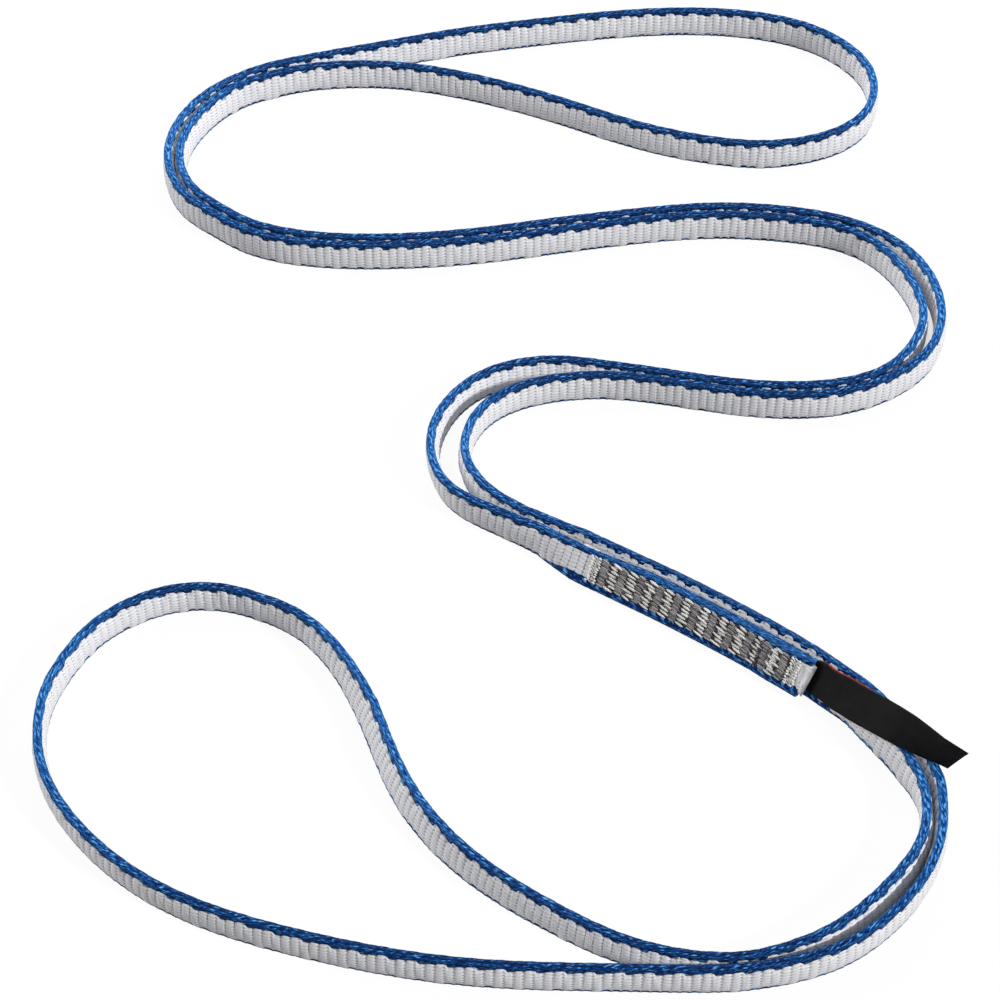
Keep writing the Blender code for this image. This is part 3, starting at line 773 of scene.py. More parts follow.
def threadFinish(name, look, shape):
    # A twisted thread: fine slanting filaments along each stroke
    made = Finish(name, 0.6, Specular_IOR_Level=0.25)
    crest = made.number("crest")
    twist = (made.along * look["twist"] / 2.0 + made.round * look["twist"]).wave()
    fuzz = made.noise(*shape["fuzz"])
    shade = twist * shape["twistShade"] + (fuzz - 0.5) * shape["fuzzShade"]
    shade = (shade + crest * shape["crestShade"] + shape["plainShade"]).limited()
    colour = shade.blendColours(look["dark"], look["light"])
    roughness = shape["leastRoughness"] + fuzz * shape["fuzzRoughness"]
    return made.show(colour, (twist + fuzz) * 0.5, shape["bump"], roughness)


hotCutLook = {
    "clear": (0.20, 0.20, 0.21, 1.0),
    "milk": (0.86, 0.86, 0.87, 1.0),
    "speck": (0.03, 0.10, 0.36, 1.0),
    "clouds": (0.9, 0.9, 3.0),
    "specks": (2.6, 2.1, 2.0),
    "speckFrom": 0.62,
    "speckRise": 9.0,
    "cloudShade": 1.9,
    "ridgeLight": 0.95,
    "plainShade": -0.08,
    "bump": (0.5, 0.00035),
    "leastRoughness": 0.22,
    "cloudRoughness": 0.2,
}


def hotCutFinish(look):
    # Melted yarn, milky and clear in clouds, with specks of the blue melted in. Its ridge is painted
    # paler as a highlight, and it is painted darker towards its tip as shade.
    made = Finish("meltedEnd", 0.3, Specular_IOR_Level=0.5, Coat_Weight=0.15)
    cloud = made.noise(*look["clouds"])
    specks = ((made.noise(*look["specks"]) - look["speckFrom"]) * look["speckRise"]).limited()
    milky = (cloud - 0.5) * look["cloudShade"] + made.number("ridge") * look["ridgeLight"]
    milky = (milky + look["plainShade"]).limited()
    colour = specks.blendColours(milky.blendColours(look["clear"], look["milk"]), look["speck"])
    roughness = look["leastRoughness"] + cloud * look["cloudRoughness"]
    return made.show(colour, cloud, look["bump"], roughness)


# The label's map is in millimetres both ways
labelLook = {
    "dark": (0.0010, 0.0010, 0.0012, 1.0),
    "light": (0.0260, 0.0252, 0.0262, 1.0),
    "redDark": (0.10, 0.010, 0.006, 1.0),
    "redLight": (0.62, 0.085, 0.030, 1.0),
    "twillPitch": 0.62,
    "slow": (0.25, 0.3, 2.0),
    "twillShade": 0.8,
    "slowShade": 0.5,
    "plainShade": -0.2,
    "twillHeight": 0.7,
    "weftHeight": 0.3,
    "bump": (0.4, 0.00008),
    "leastRoughness": 0.5,
    "slowRoughness": 0.25,
}


def labelFinish(name, dark, light, look):
    # A fine satin ribbon: slanting ribs and a slow change of tone along it
    made = Finish(name, 0.6, Specular_IOR_Level=0.05)
    twill = ((made.along + made.round) / look["twillPitch"]).wave()
    weft = (made.along / look["twillPitch"] * 2.0).wave()
    slow = made.noise(*look["slow"])
    shade = twill * weft * look["twillShade"] + slow * look["slowShade"] + look["plainShade"]
    colour = shade.limited().blendColours(dark, light)
    height = twill * look["twillHeight"] + weft * look["weftHeight"]
    roughness = look["leastRoughness"] + slow * look["slowRoughness"]
    return made.show(colour, height, look["bump"], roughness)


groundYarn = groundFinish(groundLook)
blueYarn = blueFinish(blueLook)
greyThread = threadFinish("tackGreyThread", threadLooks["tackGrey"], threadShape)
whiteThread = threadFinish("lockWhiteThread", threadLooks["lockWhite"], threadShape)
meltedEnd = hotCutFinish(hotCutLook)
blackRibbon = labelFinish("labelBlackRibbon", labelLook["dark"], labelLook["light"], labelLook)
redRibbon = labelFinish("labelRedRibbon", labelLook["redDark"], labelLook["redLight"], labelLook)
print("materials made")

# The woven tape
weaveSizes = {
    "ribProud": 0.00006,
    "ribDepth": 0.00021,
    "leastBulge": 0.00025,
    "mostBulge": 0.00060,
    "spareRoom": 0.00004,
    "whiteTop": 0.00820,
    "whiteTopSewn": 0.00905,
    "whiteBottom": 0.00002,
    "whiteBottomSewn": 0.00195,
    "sewnArch": 0.1,
    "sewnFlare": 0.6,
    "sewnDepth": 0.5,
    "blueFoot": 0.00095,
    "dashEnds": (0.04, 0.96),
    "leastCrest": 0.25,
    "farFaceMap": 0.03,
    "edgeProud": 0.00005,
    "topProud": 0.00018,
    "sewnRise": 0.00005,
    "sewnDrop": 0.00070,
    "sewnSpread": 0.00020,
    "flare": 0.00110,
    "flareReach": 0.0100,
    "sink": 0.00130,
    "sinkReach": 0.0200,
    "yarnDepth": 0.00010,
    "floatDepth": 0.00012,
    "topYarns": 12,
    "bottomYarns": 9,
    "pointsPerYarn": 2,
    "yarnShift": 0.37,
    "squareness": 6.0,
    "yarnBluntness": 0.7,
    "floatBluntness": 0.6,
    "sewnFlat": 0.65,
    "edgeLap": 0.00025,
    "edgeWall": 0.00060,
    "wallMap": 0.3,
    "topPower": 4,
    "leastStep": 0.01,
}
# The white's upper border over three ribs: where each arch starts and ends, and its height
borderArches = [(0.0, 1.28, 0.00130), (1.22, 2.28, 0.00072), (2.25, 3.0, 0.00010)]
borderShift = 0.38
farEnd = tape.spliceEnd + tape.length
# How much the ribs differ by chance: their height and their arch, and how high the blue dash at
# a rib's foot is, with the share of the ribs that have it
ribChance = {
    "seed": 7,
    "spare": 8,
    "lift": 0.06,
    "top": 0.10,
    "dashes": (0.0, 0.55, 0.8, 1.0, 1.1),
    "dashShares": (0.18, 0.2, 0.2, 0.22, 0.2),
}
chance = np.random.default_rng(ribChance["seed"])
ribCount = int((tape.length + spliceSizes["length"]) / tapeSizes["ribPitch"]) + ribChance["spare"]
ribLift = chance.normal(0.0, ribChance["lift"], ribCount)
ribTop = chance.normal(1.0, ribChance["top"], ribCount)
ribFoot = chance.choice(ribChance["dashes"], ribCount, p=ribChance["dashShares"])


def ribsAt(places):
    # Each rib is a round pillow: x runs from -1 to 1 over it, and it's highest in its middle
    phase = (places - tape.spliceStart) / tapeSizes["ribPitch"]
    number = np.floor(phase + 1e-6).astype(int)
    x = 2.0 * (phase - number) - 1.0
    pillow = np.sqrt(np.clip(1.0 - x * x, 0.0, 1.0))
    return phase, number, pillow


def arch(x, start, end):
    # 1 in the middle of its span, 0 outside it, with steep shoulders
    t = (2.0 * x - start - end) / (end - start)
    return np.sqrt(np.clip(1.0 - np.abs(t) ** 3, 0.0, 1.0))


def whiteLimits(places):
    # The white's upper border follows its arches. At its lower one the blue shows as dashes.
    phase, number, pillow = ribsAt(places)
    ofThree = np.mod(phase + borderShift, 3.0)
    reach = np.max([arch(ofThree, start, end) * high for start, end, high in borderArches], axis=0)
    top = weaveSizes["whiteTop"] + reach * ribTop[number % ribCount]
    sewn = pressed(places)
    topSewn = weaveSizes["whiteTopSewn"] + weaveSizes["sewnArch"] * reach
    topSewn = topSewn + weaveSizes["sewnFlare"] * flared(places)
    top = top + (topSewn - top) * sewn
    foot = arch(phase - number, *weaveSizes["dashEnds"]) * ribFoot[number % ribCount]
    bottom = weaveSizes["whiteBottom"] + weaveSizes["blueFoot"] * foot
    bottom = bottom + (weaveSizes["whiteBottomSewn"] - bottom) * sewn
    return top, bottom


def flared(places):
    # The near layer's upper edge rises at its melted end, and the far layer's sinks at its own
    share = 1.0 - np.abs(places - tape.spliceStart) / weaveSizes["flareReach"]
    farShare = 1.0 - np.abs(places - farEnd) / weaveSizes["sinkReach"]
    rising = weaveSizes["flare"] * np.clip(share, 0.0, 1.0) ** 2
    return rising - weaveSizes["sink"] * np.clip(farShare, 0.0, 1.0)


def closingOf(places):
    # In the splice the two layers' blue edges spread towards each other and hide the gap:
    # how far, and which way through the tape
    isFar = places > tape.length
    local = np.where(isFar, places - tape.length, places)
    inside = np.clip((local - tape.spliceStart) / millimetre, 0.0, 1.0) * pressed(places)
    return layerGap(local) / 2.0 * inside, np.where(isFar, -1.0, 1.0)


def behindSplice(places):
    # 1 where the other strand stands in the splice's shade, falling to 0 past its ends
    middle = (tape.starts["splice_b"] + tape.starts["lower_right_bend_b"]) / 2.0
    beyond = np.abs(places - middle) - spliceSizes["length"] / 2.0
    return np.clip(1.0 - beyond / spliceSizes["pressedRamp"], 0.0, 1.0)


def stationsOf(start, end):
    step = tapeSizes["ribPitch"] / tapeSizes["samplesPerRib"]
    first = math.ceil((start - tape.spliceStart) / step + weaveSizes["leastStep"])
    last = math.floor((end - tape.spliceStart) / step - weaveSizes["leastStep"])
    inner = tape.spliceStart + np.arange(first, last + 1) * step
    return np.concatenate([[start], inner, [end]])


def groundPiece(name, start, end):
    # Rows up each face. across = half the thickness + rib relief + the bulge that the loose tape
    # has at its mid-width, pulled in at both limits
    places = stationsOf(start, end)
    phase, number, pillow = ribsAt(places)
    top, bottom = whiteLimits(places)
    shares = np.array([0.0, 0.025, 0.08, 0.20, 0.35, 0.50, 0.65, 0.80, 0.92, 0.975, 1.0])
    fullness = np.array([-1.5, 0.0, 0.9, 1.0, 1.0, 1.0, 1.0, 1.0, 0.9, 0.0, -1.5])
    heights = bottom[:, None] + (top - bottom)[:, None] * shares
    depth = weaveSizes["ribDepth"] * (1.0 + weaveSizes["sewnDepth"] * pressed(places))
    lift = 1.0 + ribLift[number % ribCount]
    relief = weaveSizes["ribProud"] - depth * (1.0 - pillow * lift)
    half = tapeThickness(places) / 2.0
    outward = half[:, None] + relief[:, None] - (1.0 - fullness) * weaveSizes["ribProud"]
    room = tape.read(tape.rooms, places) / 2.0 - weaveSizes["ribProud"] - weaveSizes["spareRoom"]
    bulge = np.clip(room, weaveSizes["leastBulge"], weaveSizes["mostBulge"]) * (1.0 - pressed(places))
    outward = outward + bulge[:, None] * (1.0 - (2.0 * shares - 1.0) ** 2)
    middle = tapeMiddle(places)[:, None]
    across = np.concatenate([middle - outward, (middle + outward)[:, ::-1]], axis=1)
    heights = np.concatenate([heights, heights[:, ::-1]], axis=1)
    points = tape.point(places[:, None], across, heights)
    # crest is 1 on a rib's middle and lower in its valleys and near the face's upper and lower limits,
    # where the ground is painted in shade
    showing = np.clip(fullness, weaveSizes["leastCrest"], 1.0)
    crest = np.clip(pillow[:, None] * lift[:, None] * showing, 0.0, 1.0)
    crest = np.concatenate([crest, crest[:, ::-1]], axis=1)
    # The far face's map counts down from a place of its own
    farFace = weaveSizes["farFaceMap"] - heights[:, len(shares) :]
    around = np.concatenate([heights[:, : len(shares)], farFace], axis=1)
    values = {"crest": crest, "behind": np.broadcast_to(behindSplice(places)[:, None], crest.shape)}
    return tubePiece(name, points, around / millimetre, phase, values, groundYarn)


def edgePiece(name, start, end, isTop):
    # The section bows over the edge as a squared oval, with a row of yarns round it. Each yarn
    # floats over one rib and dives, a part of a rib after its neighbour.
    places = stationsOf(start, end)
    phase, number, pillow = ribsAt(places)
    top, bottom = whiteLimits(places)
    yarns = weaveSizes["topYarns"] if isTop else weaveSizes["bottomYarns"]
    t = np.linspace(0.0, 1.0, yarns * weaveSizes["pointsPerYarn"] + 1)
    angle = math.pi * t
    bow = 2.0 / weaveSizes["squareness"]
    sideways = -np.sign(np.cos(angle)) * np.abs(np.cos(angle)) ** bow
    upward = np.sin(angle) ** bow
    which = np.minimum((t * yarns + 1e-6).astype(int), yarns - 1)
    ridge = np.abs(np.sin(math.pi * t * yarns)) ** weaveSizes["yarnBluntness"]
    floating = np.abs(np.sin(math.pi * (phase[:, None] + which * weaveSizes["yarnShift"])))
    floating = floating ** weaveSizes["floatBluntness"]
    sewn = pressed(places)[:, None]
    loose = 1.0 - weaveSizes["sewnFlat"] * sewn
    relief = weaveSizes["yarnDepth"] * (ridge - 1.0) * loose
    relief = relief + weaveSizes["floatDepth"] * (floating - 1.0) * loose
    half = tapeThickness(places)[:, None] / 2.0 + weaveSizes["edgeProud"]
    closing, way = closingOf(places)
    inward = np.clip(sideways * way[:, None], 0.0, 1.0) * way[:, None]
    outward = np.clip(-sideways * way[:, None], 0.0, 1.0) * -way[:, None]
    isFarLayer = (way < 0.0)[:, None] * isTop
    spread = closing[:, None] * inward + weaveSizes["sewnSpread"] * sewn * outward * isFarLayer
    body = sideways * (half + relief) + spread
    middle = tapeMiddle(places)[:, None]
    if isTop:
        foot = top[:, None] - weaveSizes["edgeLap"]
        rim = tapeSizes["width"] + weaveSizes["topProud"] + weaveSizes["sewnRise"] * sewn
        rim = rim + flared(places)[:, None]
        heights = foot + upward * (rim + relief - foot)
    else:
        foot = bottom[:, None] + weaveSizes["edgeLap"]
        drop = weaveSizes["sewnDrop"] * sewn * (way > 0.0)[:, None]
        heights = foot - upward * (foot + relief + drop)
    inner = half - weaveSizes["edgeWall"]
    across = np.concatenate([middle + body, middle + inner, middle - inner], axis=1)
    heights = np.concatenate([heights, foot, foot], axis=1)
    points = tape.point(places[:, None], across, heights)
    # onTop is 1 where the upper edge faces up, where its colour is painted lit, and 0 on its sides and
    # on the lower edge, painted in shade
    onTop = np.clip(1.0 - np.abs(sideways) ** weaveSizes["topPower"], 0.0, 1.0)
    onTop = np.concatenate([onTop, [0.0, 0.0]]) * isTop
    # Painted sheen: yarns that run towards the viewer are painted paler, as if they caught the light
    # from both sides: sheen = direction's y squared
    sheen = tape.frame(places)[1][:, 1:2] ** 2
    values = {
        "sewn": np.broadcast_to(sewn, across.shape),
        "onTop": np.broadcast_to(onTop, across.shape),
        "sheen": np.broadcast_to(sheen, across.shape),
    }
    span = yarns * blueLook["yarnWidth"]
    around = np.concatenate([t * span, span + weaveSizes["wallMap"] * np.array([1.0, 2.0])])
    around = np.broadcast_to(around, across.shape)
    return tubePiece(name, points, around, phase, values, blueYarn)


# Three runs of one tape: each is made as pieces of its own, because the strands lie side by side
topCutShare = 0.55
cutTop = tape.starts["top_loop_end"] * (1.0 - topCutShare)
cutTop = cutTop + tape.starts["top_loop_near_side"] * topCutShare
cutBottom = (tape.starts["bottom_loop_near_side"] + tape.starts["bottom_loop_far_side"]) / 2.0
runs = {
    "frontStrand": (
        tape.spliceStart,
        cutTop,
        (
            "splice_near_layer",
            "left_bend_a",
            "lower_run_a",
            "right_bend_a",
            "upper_run_a",
            "far_left_bend_a",
            "top_loop_far_side",
            "top_loop_end",
        ),
    ),
    "backStrand": (
        cutTop,
        cutBottom,
        (
            "top_loop_near_side",
            "far_left_bend_b",
            "upper_run_b",
            "right_bend_b",
            "lower_run_b",
            "left_bend_b",
            "splice_b",
            "lower_right_bend_b",
            "bottom_loop_near_side",
        ),
    ),
    "lappedStrand": (
        cutBottom,
        farEnd,
        ("bottom_loop_far_side", "lower_right_bend_a", "splice_far_layer"),
    ),
}
runPieces = {}
for runName, (start, end, stretches) in runs.items():
    groundStart = start + spliceSizes["hotCutLength"] * (start == tape.spliceStart)
    groundEnd = end - spliceSizes["hotCutLength"] * (end == farEnd)
    ground = groundPiece(runName + "Ground", groundStart, groundEnd)
    upperStart = start + spliceSizes["upperEdgeShort"] * (start == tape.spliceStart)
    upperEdge = edgePiece(runName + "UpperEdge", upperStart, end, True)
    lowerStart = start + spliceSizes["lowerEdgeShort"] * (start == tape.spliceStart)
    lowerEdge = edgePiece(runName + "LowerEdge", lowerStart, end, False)
    for piece in (ground, upperEdge, lowerEdge):
        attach(piece, "tape")
    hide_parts(*["ground_" + stretch for stretch in stretches])
    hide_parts(*["lower_edge_" + stretch for stretch in stretches])
    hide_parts("upper_edge")
    runPieces[runName] = [ground, upperEdge, lowerEdge]
    print(runName, "woven,", round(end - start, 4), "m")

# The bar tacks: grey thread in close rows, and off-white fingers between them
tackSizes = {
    "count": 11,
    "pitch": 0.00562,
    "first": 0.0081,
    "rows": 15,
    "low": 0.00165,
    "high": 0.00893,
    "halfLengths": (0.00122, 0.00178),
    "shifts": (0.00015, -0.00030),
    "halfHeight": 0.00031,
    "proud": 0.00034,
    "tilt": 9.0,
    "shades": (0.30, 1.15),
    "longShadeDarker": 0.40,
    "seed": 100,
}
# Grey thread under the strokes, painted almost black where it shows between them, as their shadow
shadowBedSizes = {
    "rows": 15,
    "low": 0.00165,
    "high": 0.00893,
    "halfLengths": (0.00290, 0.00290),
    "shifts": (0.0, 0.0),
    "halfHeight": 0.00030,
    "proud": 0.00017,
    "tilt": 1.0,
    "shade": -0.75,
    "seed": 400,
}
# Off-white strokes between two tacks
fingerSizes = {
    "rows": 8,
    "low": 0.00165,
    "high": 0.00893,
    "halfLengths": (0.00150, 0.00140),
    "shifts": (0.00040, -0.00040),
    "halfHeight": 0.00037,
    "proud": 0.00056,
    "tilt": 12.0,
    "shades": (0.3, 1.0),
    "shadeSeed": 3,
    "seed": 200,
}
lockSizes = {
    "fromTack": 0.0031,
    "rows": 10,
    "low": 0.00170,
    "high": 0.00890,
    "shifts": (0.0, 0.0),
    "tilt": 25.0,
    "seed": 300,
}
# The columns of a lock row: how far out from its middle, half length, half height, how proud
lockColumns = [
    (-0.0010, 0.00050, 0.00030, 0.00046),
    (0.0002, 0.00100, 0.00022, 0.00010),
    (0.0013, 0.00044, 0.00030, 0.00046),
]
# How much the strokes differ by chance: up the tape, along it, in length and in tilt. All of
# them are seated a little way out of the face.
threadChance = {
    "height": 0.00005,
    "place": 0.00018,
    "length": 0.11,
    "tilt": 0.25,
}
threadSeat = 0.00004
barPlaces = tape.spliceStart + tackSizes["first"] + np.arange(tackSizes["count"]) * tackSizes["pitch"]
gapPlaces = (barPlaces[1:] + barPlaces[:-1]) / 2.0
lockPlaces = [barPlaces[0] - lockSizes["fromTack"], barPlaces[-1] + lockSizes["fromTack"]]


def faceAcross(places, side):
    # The near face of the near layer, or the far face of the far layer
    if side < 0.0:
        return tapeMiddle(places) - tapeThickness(places) / 2.0
    return tapeMiddle(places + tape.length) + tapeThickness(places + tape.length) / 2.0


def threadRows(place, sizes, side, luck):
    # One column of strokes up the tape: place, across and height of each, halves and tilt.
    # Every other stroke has its own length and shift.
    rows = np.arange(sizes["rows"])
    heights = np.linspace(sizes["low"], sizes["high"], sizes["rows"])
    heights = heights + luck.normal(0.0, threadChance["height"], len(rows))
    places = place + np.array(sizes["shifts"])[rows % 2]
    places = places + luck.normal(0.0, threadChance["place"], len(rows))
    across = faceAcross(places, side) + side * threadSeat
    longer = 1.0 + luck.normal(0.0, threadChance["length"], len(rows))
    length = np.array(sizes["halfLengths"])[rows % 2] * longer
    proud = np.full(len(rows), sizes["proud"])
    high = np.full(len(rows), sizes["halfHeight"])
    tilt = np.radians(sizes["tilt"]) * (1.0 + luck.normal(0.0, threadChance["tilt"], len(rows)))
    centres = np.column_stack([places, across, heights])
    return centres, np.column_stack([length, proud, high]), tilt


def bothFaces(place, sizes, number):
    # The same kind of column on both faces of the splice, each with a chance of its own
    luck = np.random.default_rng(sizes["seed"] + number)
    near = threadRows(place, sizes, -1.0, luck)
    far = threadRows(place, sizes, 1.0, luck)
    return [np.concatenate([a, b]) for a, b in zip(near, far)]


tackPieces = []
for number, place in enumerate(barPlaces):
    strokes = bothFaces(place, tackSizes, number)
    # Long strokes reach in between the off-white strokes and are painted darker there, as their shade
    isLong = strokes[1][:, 0] > sum(tackSizes["halfLengths"]) / 2.0
    shades = np.random.default_rng(number).uniform(*tackSizes["shades"], len(isLong))
    shades = shades - tackSizes["longShadeDarker"] * isLong
    # The thread under the strokes gets the darkest shade: painted shadow between the strokes
    shadowBed = bothFaces(place, shadowBedSizes, number)
    shades = np.concatenate([shades, np.full(len(shadowBed[0]), shadowBedSizes["shade"])])
    centres, halves, tilts = (np.concatenate(pair) for pair in zip(strokes, shadowBed))
    tack = grainPiece(f"barTack{number + 1:02d}", centres, halves, tilts, greyThread, shades)
    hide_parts(f"bar_tack_{number + 1:02d}")
    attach(tack, "tape")
    tackPieces.append(tack)

fingerSets = [bothFaces(place, fingerSizes, i) for i, place in enumerate(gapPlaces)]
centres, halves, tilts = (np.concatenate(column) for column in zip(*fingerSets))
luck = np.random.default_rng(fingerSizes["shadeSeed"])
shades = luck.uniform(*fingerSizes["shades"], len(centres))
fingers = grainPiece("tackFingers", centres, halves, tilts, whiteThread, shades)
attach(fingers, "tape")
tackPieces.append(fingers)

lockNames = ("lock_row_at_label", "lock_row_at_far_end")
for name, place, way in zip(lockNames, lockPlaces, (-1.0, 1.0)):
    columns = []
    for turn, (out, halfLength, halfHeight, proud) in enumerate(lockColumns):
        sizes = dict(lockSizes, halfHeight=halfHeight, proud=proud)
        sizes["halfLengths"] = (halfLength, halfLength)
        columns.append(bothFaces(place + way * out, sizes, turn))
    centres, halves, tilts = (np.concatenate(column) for column in zip(*columns))
    row = grainPiece(name.title().replace("_", ""), centres, halves, tilts, whiteThread)
    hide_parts(name)
    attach(row, "tape")
    tackPieces.append(row)
print("stitching made,", len(tackPieces), "pieces")

# The melted ends of the ground
meltSizes = {
    "low": 0.0012,
    "tipLow": 0.0002,
    "high": 0.0098,
    "tipShare": 0.22,
    "tipReach": 0.34,
    "ridge": 0.10,
    "topLonger": 0.0005,
    "rings": 24,
    "corners": 36,
    "squareness": 0.36,
    "roughness": 0.00005,
    "smoothing": 1.8,
    "seed": 11,
    "crowding": 1.4,
    "roundMap": 20.0,
    "ridgePlaces": (0.0, 0.08, 0.24, 0.50, 1.0),
    "ridgeLights": (0.0, 0.45, 1.0, 0.78, 0.85),
    "lap": 0.0006,
}


def hotCutPiece(name, tip, inner):
    # A flat lozenge, as thick as the sewn tape: it swells to a ridge and falls off at its tip
    sizes = meltSizes
    share = np.linspace(0.0, 1.0, sizes["rings"]) ** sizes["crowding"]
    places = tip + (inner - tip) * share
    reach = np.clip(share / sizes["tipReach"], 0.0, 1.0)
    swell = sizes["tipShare"] + (1.0 - sizes["tipShare"]) * np.sqrt(1.0 - (1.0 - reach) ** 2)
    hump = np.sin(math.pi * np.clip(share / sizes["tipReach"] / 2.0, 0.0, 1.0)) ** 2
    swell = swell + sizes["ridge"] * hump
    turn = np.linspace(0.0, 2.0 * math.pi, sizes["corners"], endpoint=False)
    sideways = np.sign(np.cos(turn)) * np.abs(np.cos(turn)) ** sizes["squareness"]
    upward = np.sign(np.sin(turn)) * np.abs(np.sin(turn)) ** sizes["squareness"]
    luck = np.random.default_rng(sizes["seed"])
    rough = luck.normal(0.0, sizes["roughness"], (sizes["rings"], sizes["corners"]))
    rough = (rough + np.roll(rough, 1, axis=1) + np.roll(rough, -1, axis=1)) / sizes["smoothing"]
    half = tapeThickness(places)[:, None] / 2.0 * swell[:, None] + rough
    low = (sizes["tipLow"] + (sizes["low"] - sizes["tipLow"]) * reach)[:, None]
    across = tapeMiddle(places)[:, None] + sideways * half
    heights = (sizes["high"] + low) / 2.0 + upward * (sizes["high"] - low) / 2.0
    longer = sizes["topLonger"] * (1.0 - share)[:, None] * heights / tapeSizes["width"]
    points = tape.point(places[:, None] + np.sign(tip - inner) * longer, across, heights)
    around = np.broadcast_to(turn / turn[-1] * sizes["roundMap"], across.shape)
    # ridge is high on the ridge and low at the tip: the painted highlight and the painted shade follow
    # it
    ridge = np.interp(share, sizes["ridgePlaces"], sizes["ridgeLights"])
    values = {"ridge": np.broadcast_to(ridge[:, None], across.shape)}
    return tubePiece(name, points, around, places / millimetre, values, meltedEnd)


meltLength = spliceSizes["hotCutLength"] + meltSizes["lap"]
hotCuts = {
    "hot_cut_end_at_label": (tape.spliceStart, tape.spliceStart + meltLength),
    "hot_cut_end_far": (farEnd, farEnd - meltLength),
}
hotCutPieces = {}
for name, (tip, inner) in hotCuts.items():
    piece = hotCutPiece(name.title().replace("_", ""), tip, inner)
    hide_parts(name)
    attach(piece, "tape")
    hotCutPieces[name] = piece
print("melted ends made")

# The label: its middle line after the fold, in millimetres, with its height and lean
labelRoute = [
    (83.6, -93.0, 7.9, -38.0),
    (88.8, -98.1, 10.0, -44.0),
    (93.4, -102.7, 11.9, -46.0),
    (97.4, -107.0, 13.7, -40.0),
    (101.1, -110.5, 14.8, -31.0),
    (104.7, -113.7, 15.4, -19.0),
    (108.5, -116.9, 15.8, -7.0),
    (114.3, -121.2, 16.1, 0.0),
]
labelSizes = {
    "width": 0.0098,
    "ply": 0.00025,
    "plyGap": 0.0003,
    "foldSpace": 0.0009,
    "rootLength": 0.0018,
    "rootHeight": 0.0050,
    "tipSlant": 0.0048,
    "slantRamp": 0.0120,
    "sewnPly": 0.0002,
    "sewnWidth": 0.0092,
    "sewnShort": 0.0008,
    "looseRamp": 0.0040,
    "rings": 150,
    "acrossSteps": 16,
    "wave": 0.00006,
    "waveLength": 0.0031,
    "waveSlant": 5.0,
    "backMap": 14.0,
    "bendBefore": 0.0006,
    "bendAfter": 0.0016,
    "rearRise": 0.00022,
    "rearFull": 0.0080,
    "rearSink": 0.00110,
    "rearEnd": 0.0280,
    "rearShort": 0.0009,
}
# How far the cloth rises past its fold, in millimetres: the distance from the fold, the rise
labelRises = [
    (-3.4, 0.0),
    (-0.8, 1.8),
    (1.0, 1.95),
    (3.0, 2.1),
    (5.5, 1.3),
    (8.0, 0.5),
    (14.0, 0.2),
    (24.0, 0.0),
]


def labelLine():
    # The free part's line, as in the part's source: two points at the fold, then the route
    fold = tape.spliceStart - labelSizes["foldSpace"]
    places = fold - np.array([0.0, labelSizes["rootLength"]])
    middle = gapMiddle(np.full(2, tape.spliceStart)) - np.array([0.0, 2.0 * labelSizes["ply"]])
    rootPoints = tape.point(places, middle, labelSizes["rootHeight"])
    rootLeans = -tape.read(tape.leans, places)
    route = np.array(labelRoute)
    routePoints = route[:, :3] * millimetre - np.append(tape.centre, 0.0)
    points = np.vstack([rootPoints, routePoints])
    leans = np.concatenate([rootLeans, np.radians(route[:, 3])])
    return chordPlaces(points), points, leans


def labelFrame(s):
    # Point, the way through and the way up at a distance s past the fold. Under 0 the ribbon
    # lies straight between the splice's layers.
    places, points, leans = labelLine()
    free = np.maximum(s, 0.0)
    line = smoothCurve(places, points, free)
    direction = smoothCurve(places, points, free + labelSizes["ply"]) - line
    direction /= np.linalg.norm(direction, axis=1, keepdims=True)
    lean = np.interp(free, places, leans)
    level = np.column_stack([direction[:, 1], -direction[:, 0], np.zeros(len(s))])
    level /= np.linalg.norm(level, axis=1, keepdims=True)
    up = level * np.sin(lean)[:, None] + np.array([0.0, 0.0, 1.0]) * np.cos(lean)[:, None]
    up -= direction * (up * direction).sum(axis=1, keepdims=True)
    up /= np.linalg.norm(up, axis=1, keepdims=True)
    through = np.cross(direction, up)
    sewnPlaces = tape.spliceStart - labelSizes["foldSpace"] - s
    sewnMiddle = gapMiddle(np.maximum(sewnPlaces, tape.spliceStart))
    sewnLine = tape.point(sewnPlaces, sewnMiddle, labelSizes["rootHeight"])
    _, _, sewnThrough, sewnUp = tape.frame(sewnPlaces)
    isSewn = (s < 0.0)[:, None]
    line = np.where(isSewn, sewnLine, line)
    return line, np.where(isSewn, -sewnThrough, through), np.where(isSewn, sewnUp, up)


def ramped(s, start, end):
    # 0 up to the start, 1 from the end, smooth between them
    share = np.clip((s - start) / (end - start), 0.0, 1.0)
    return share * share * (3.0 - 2.0 * share)


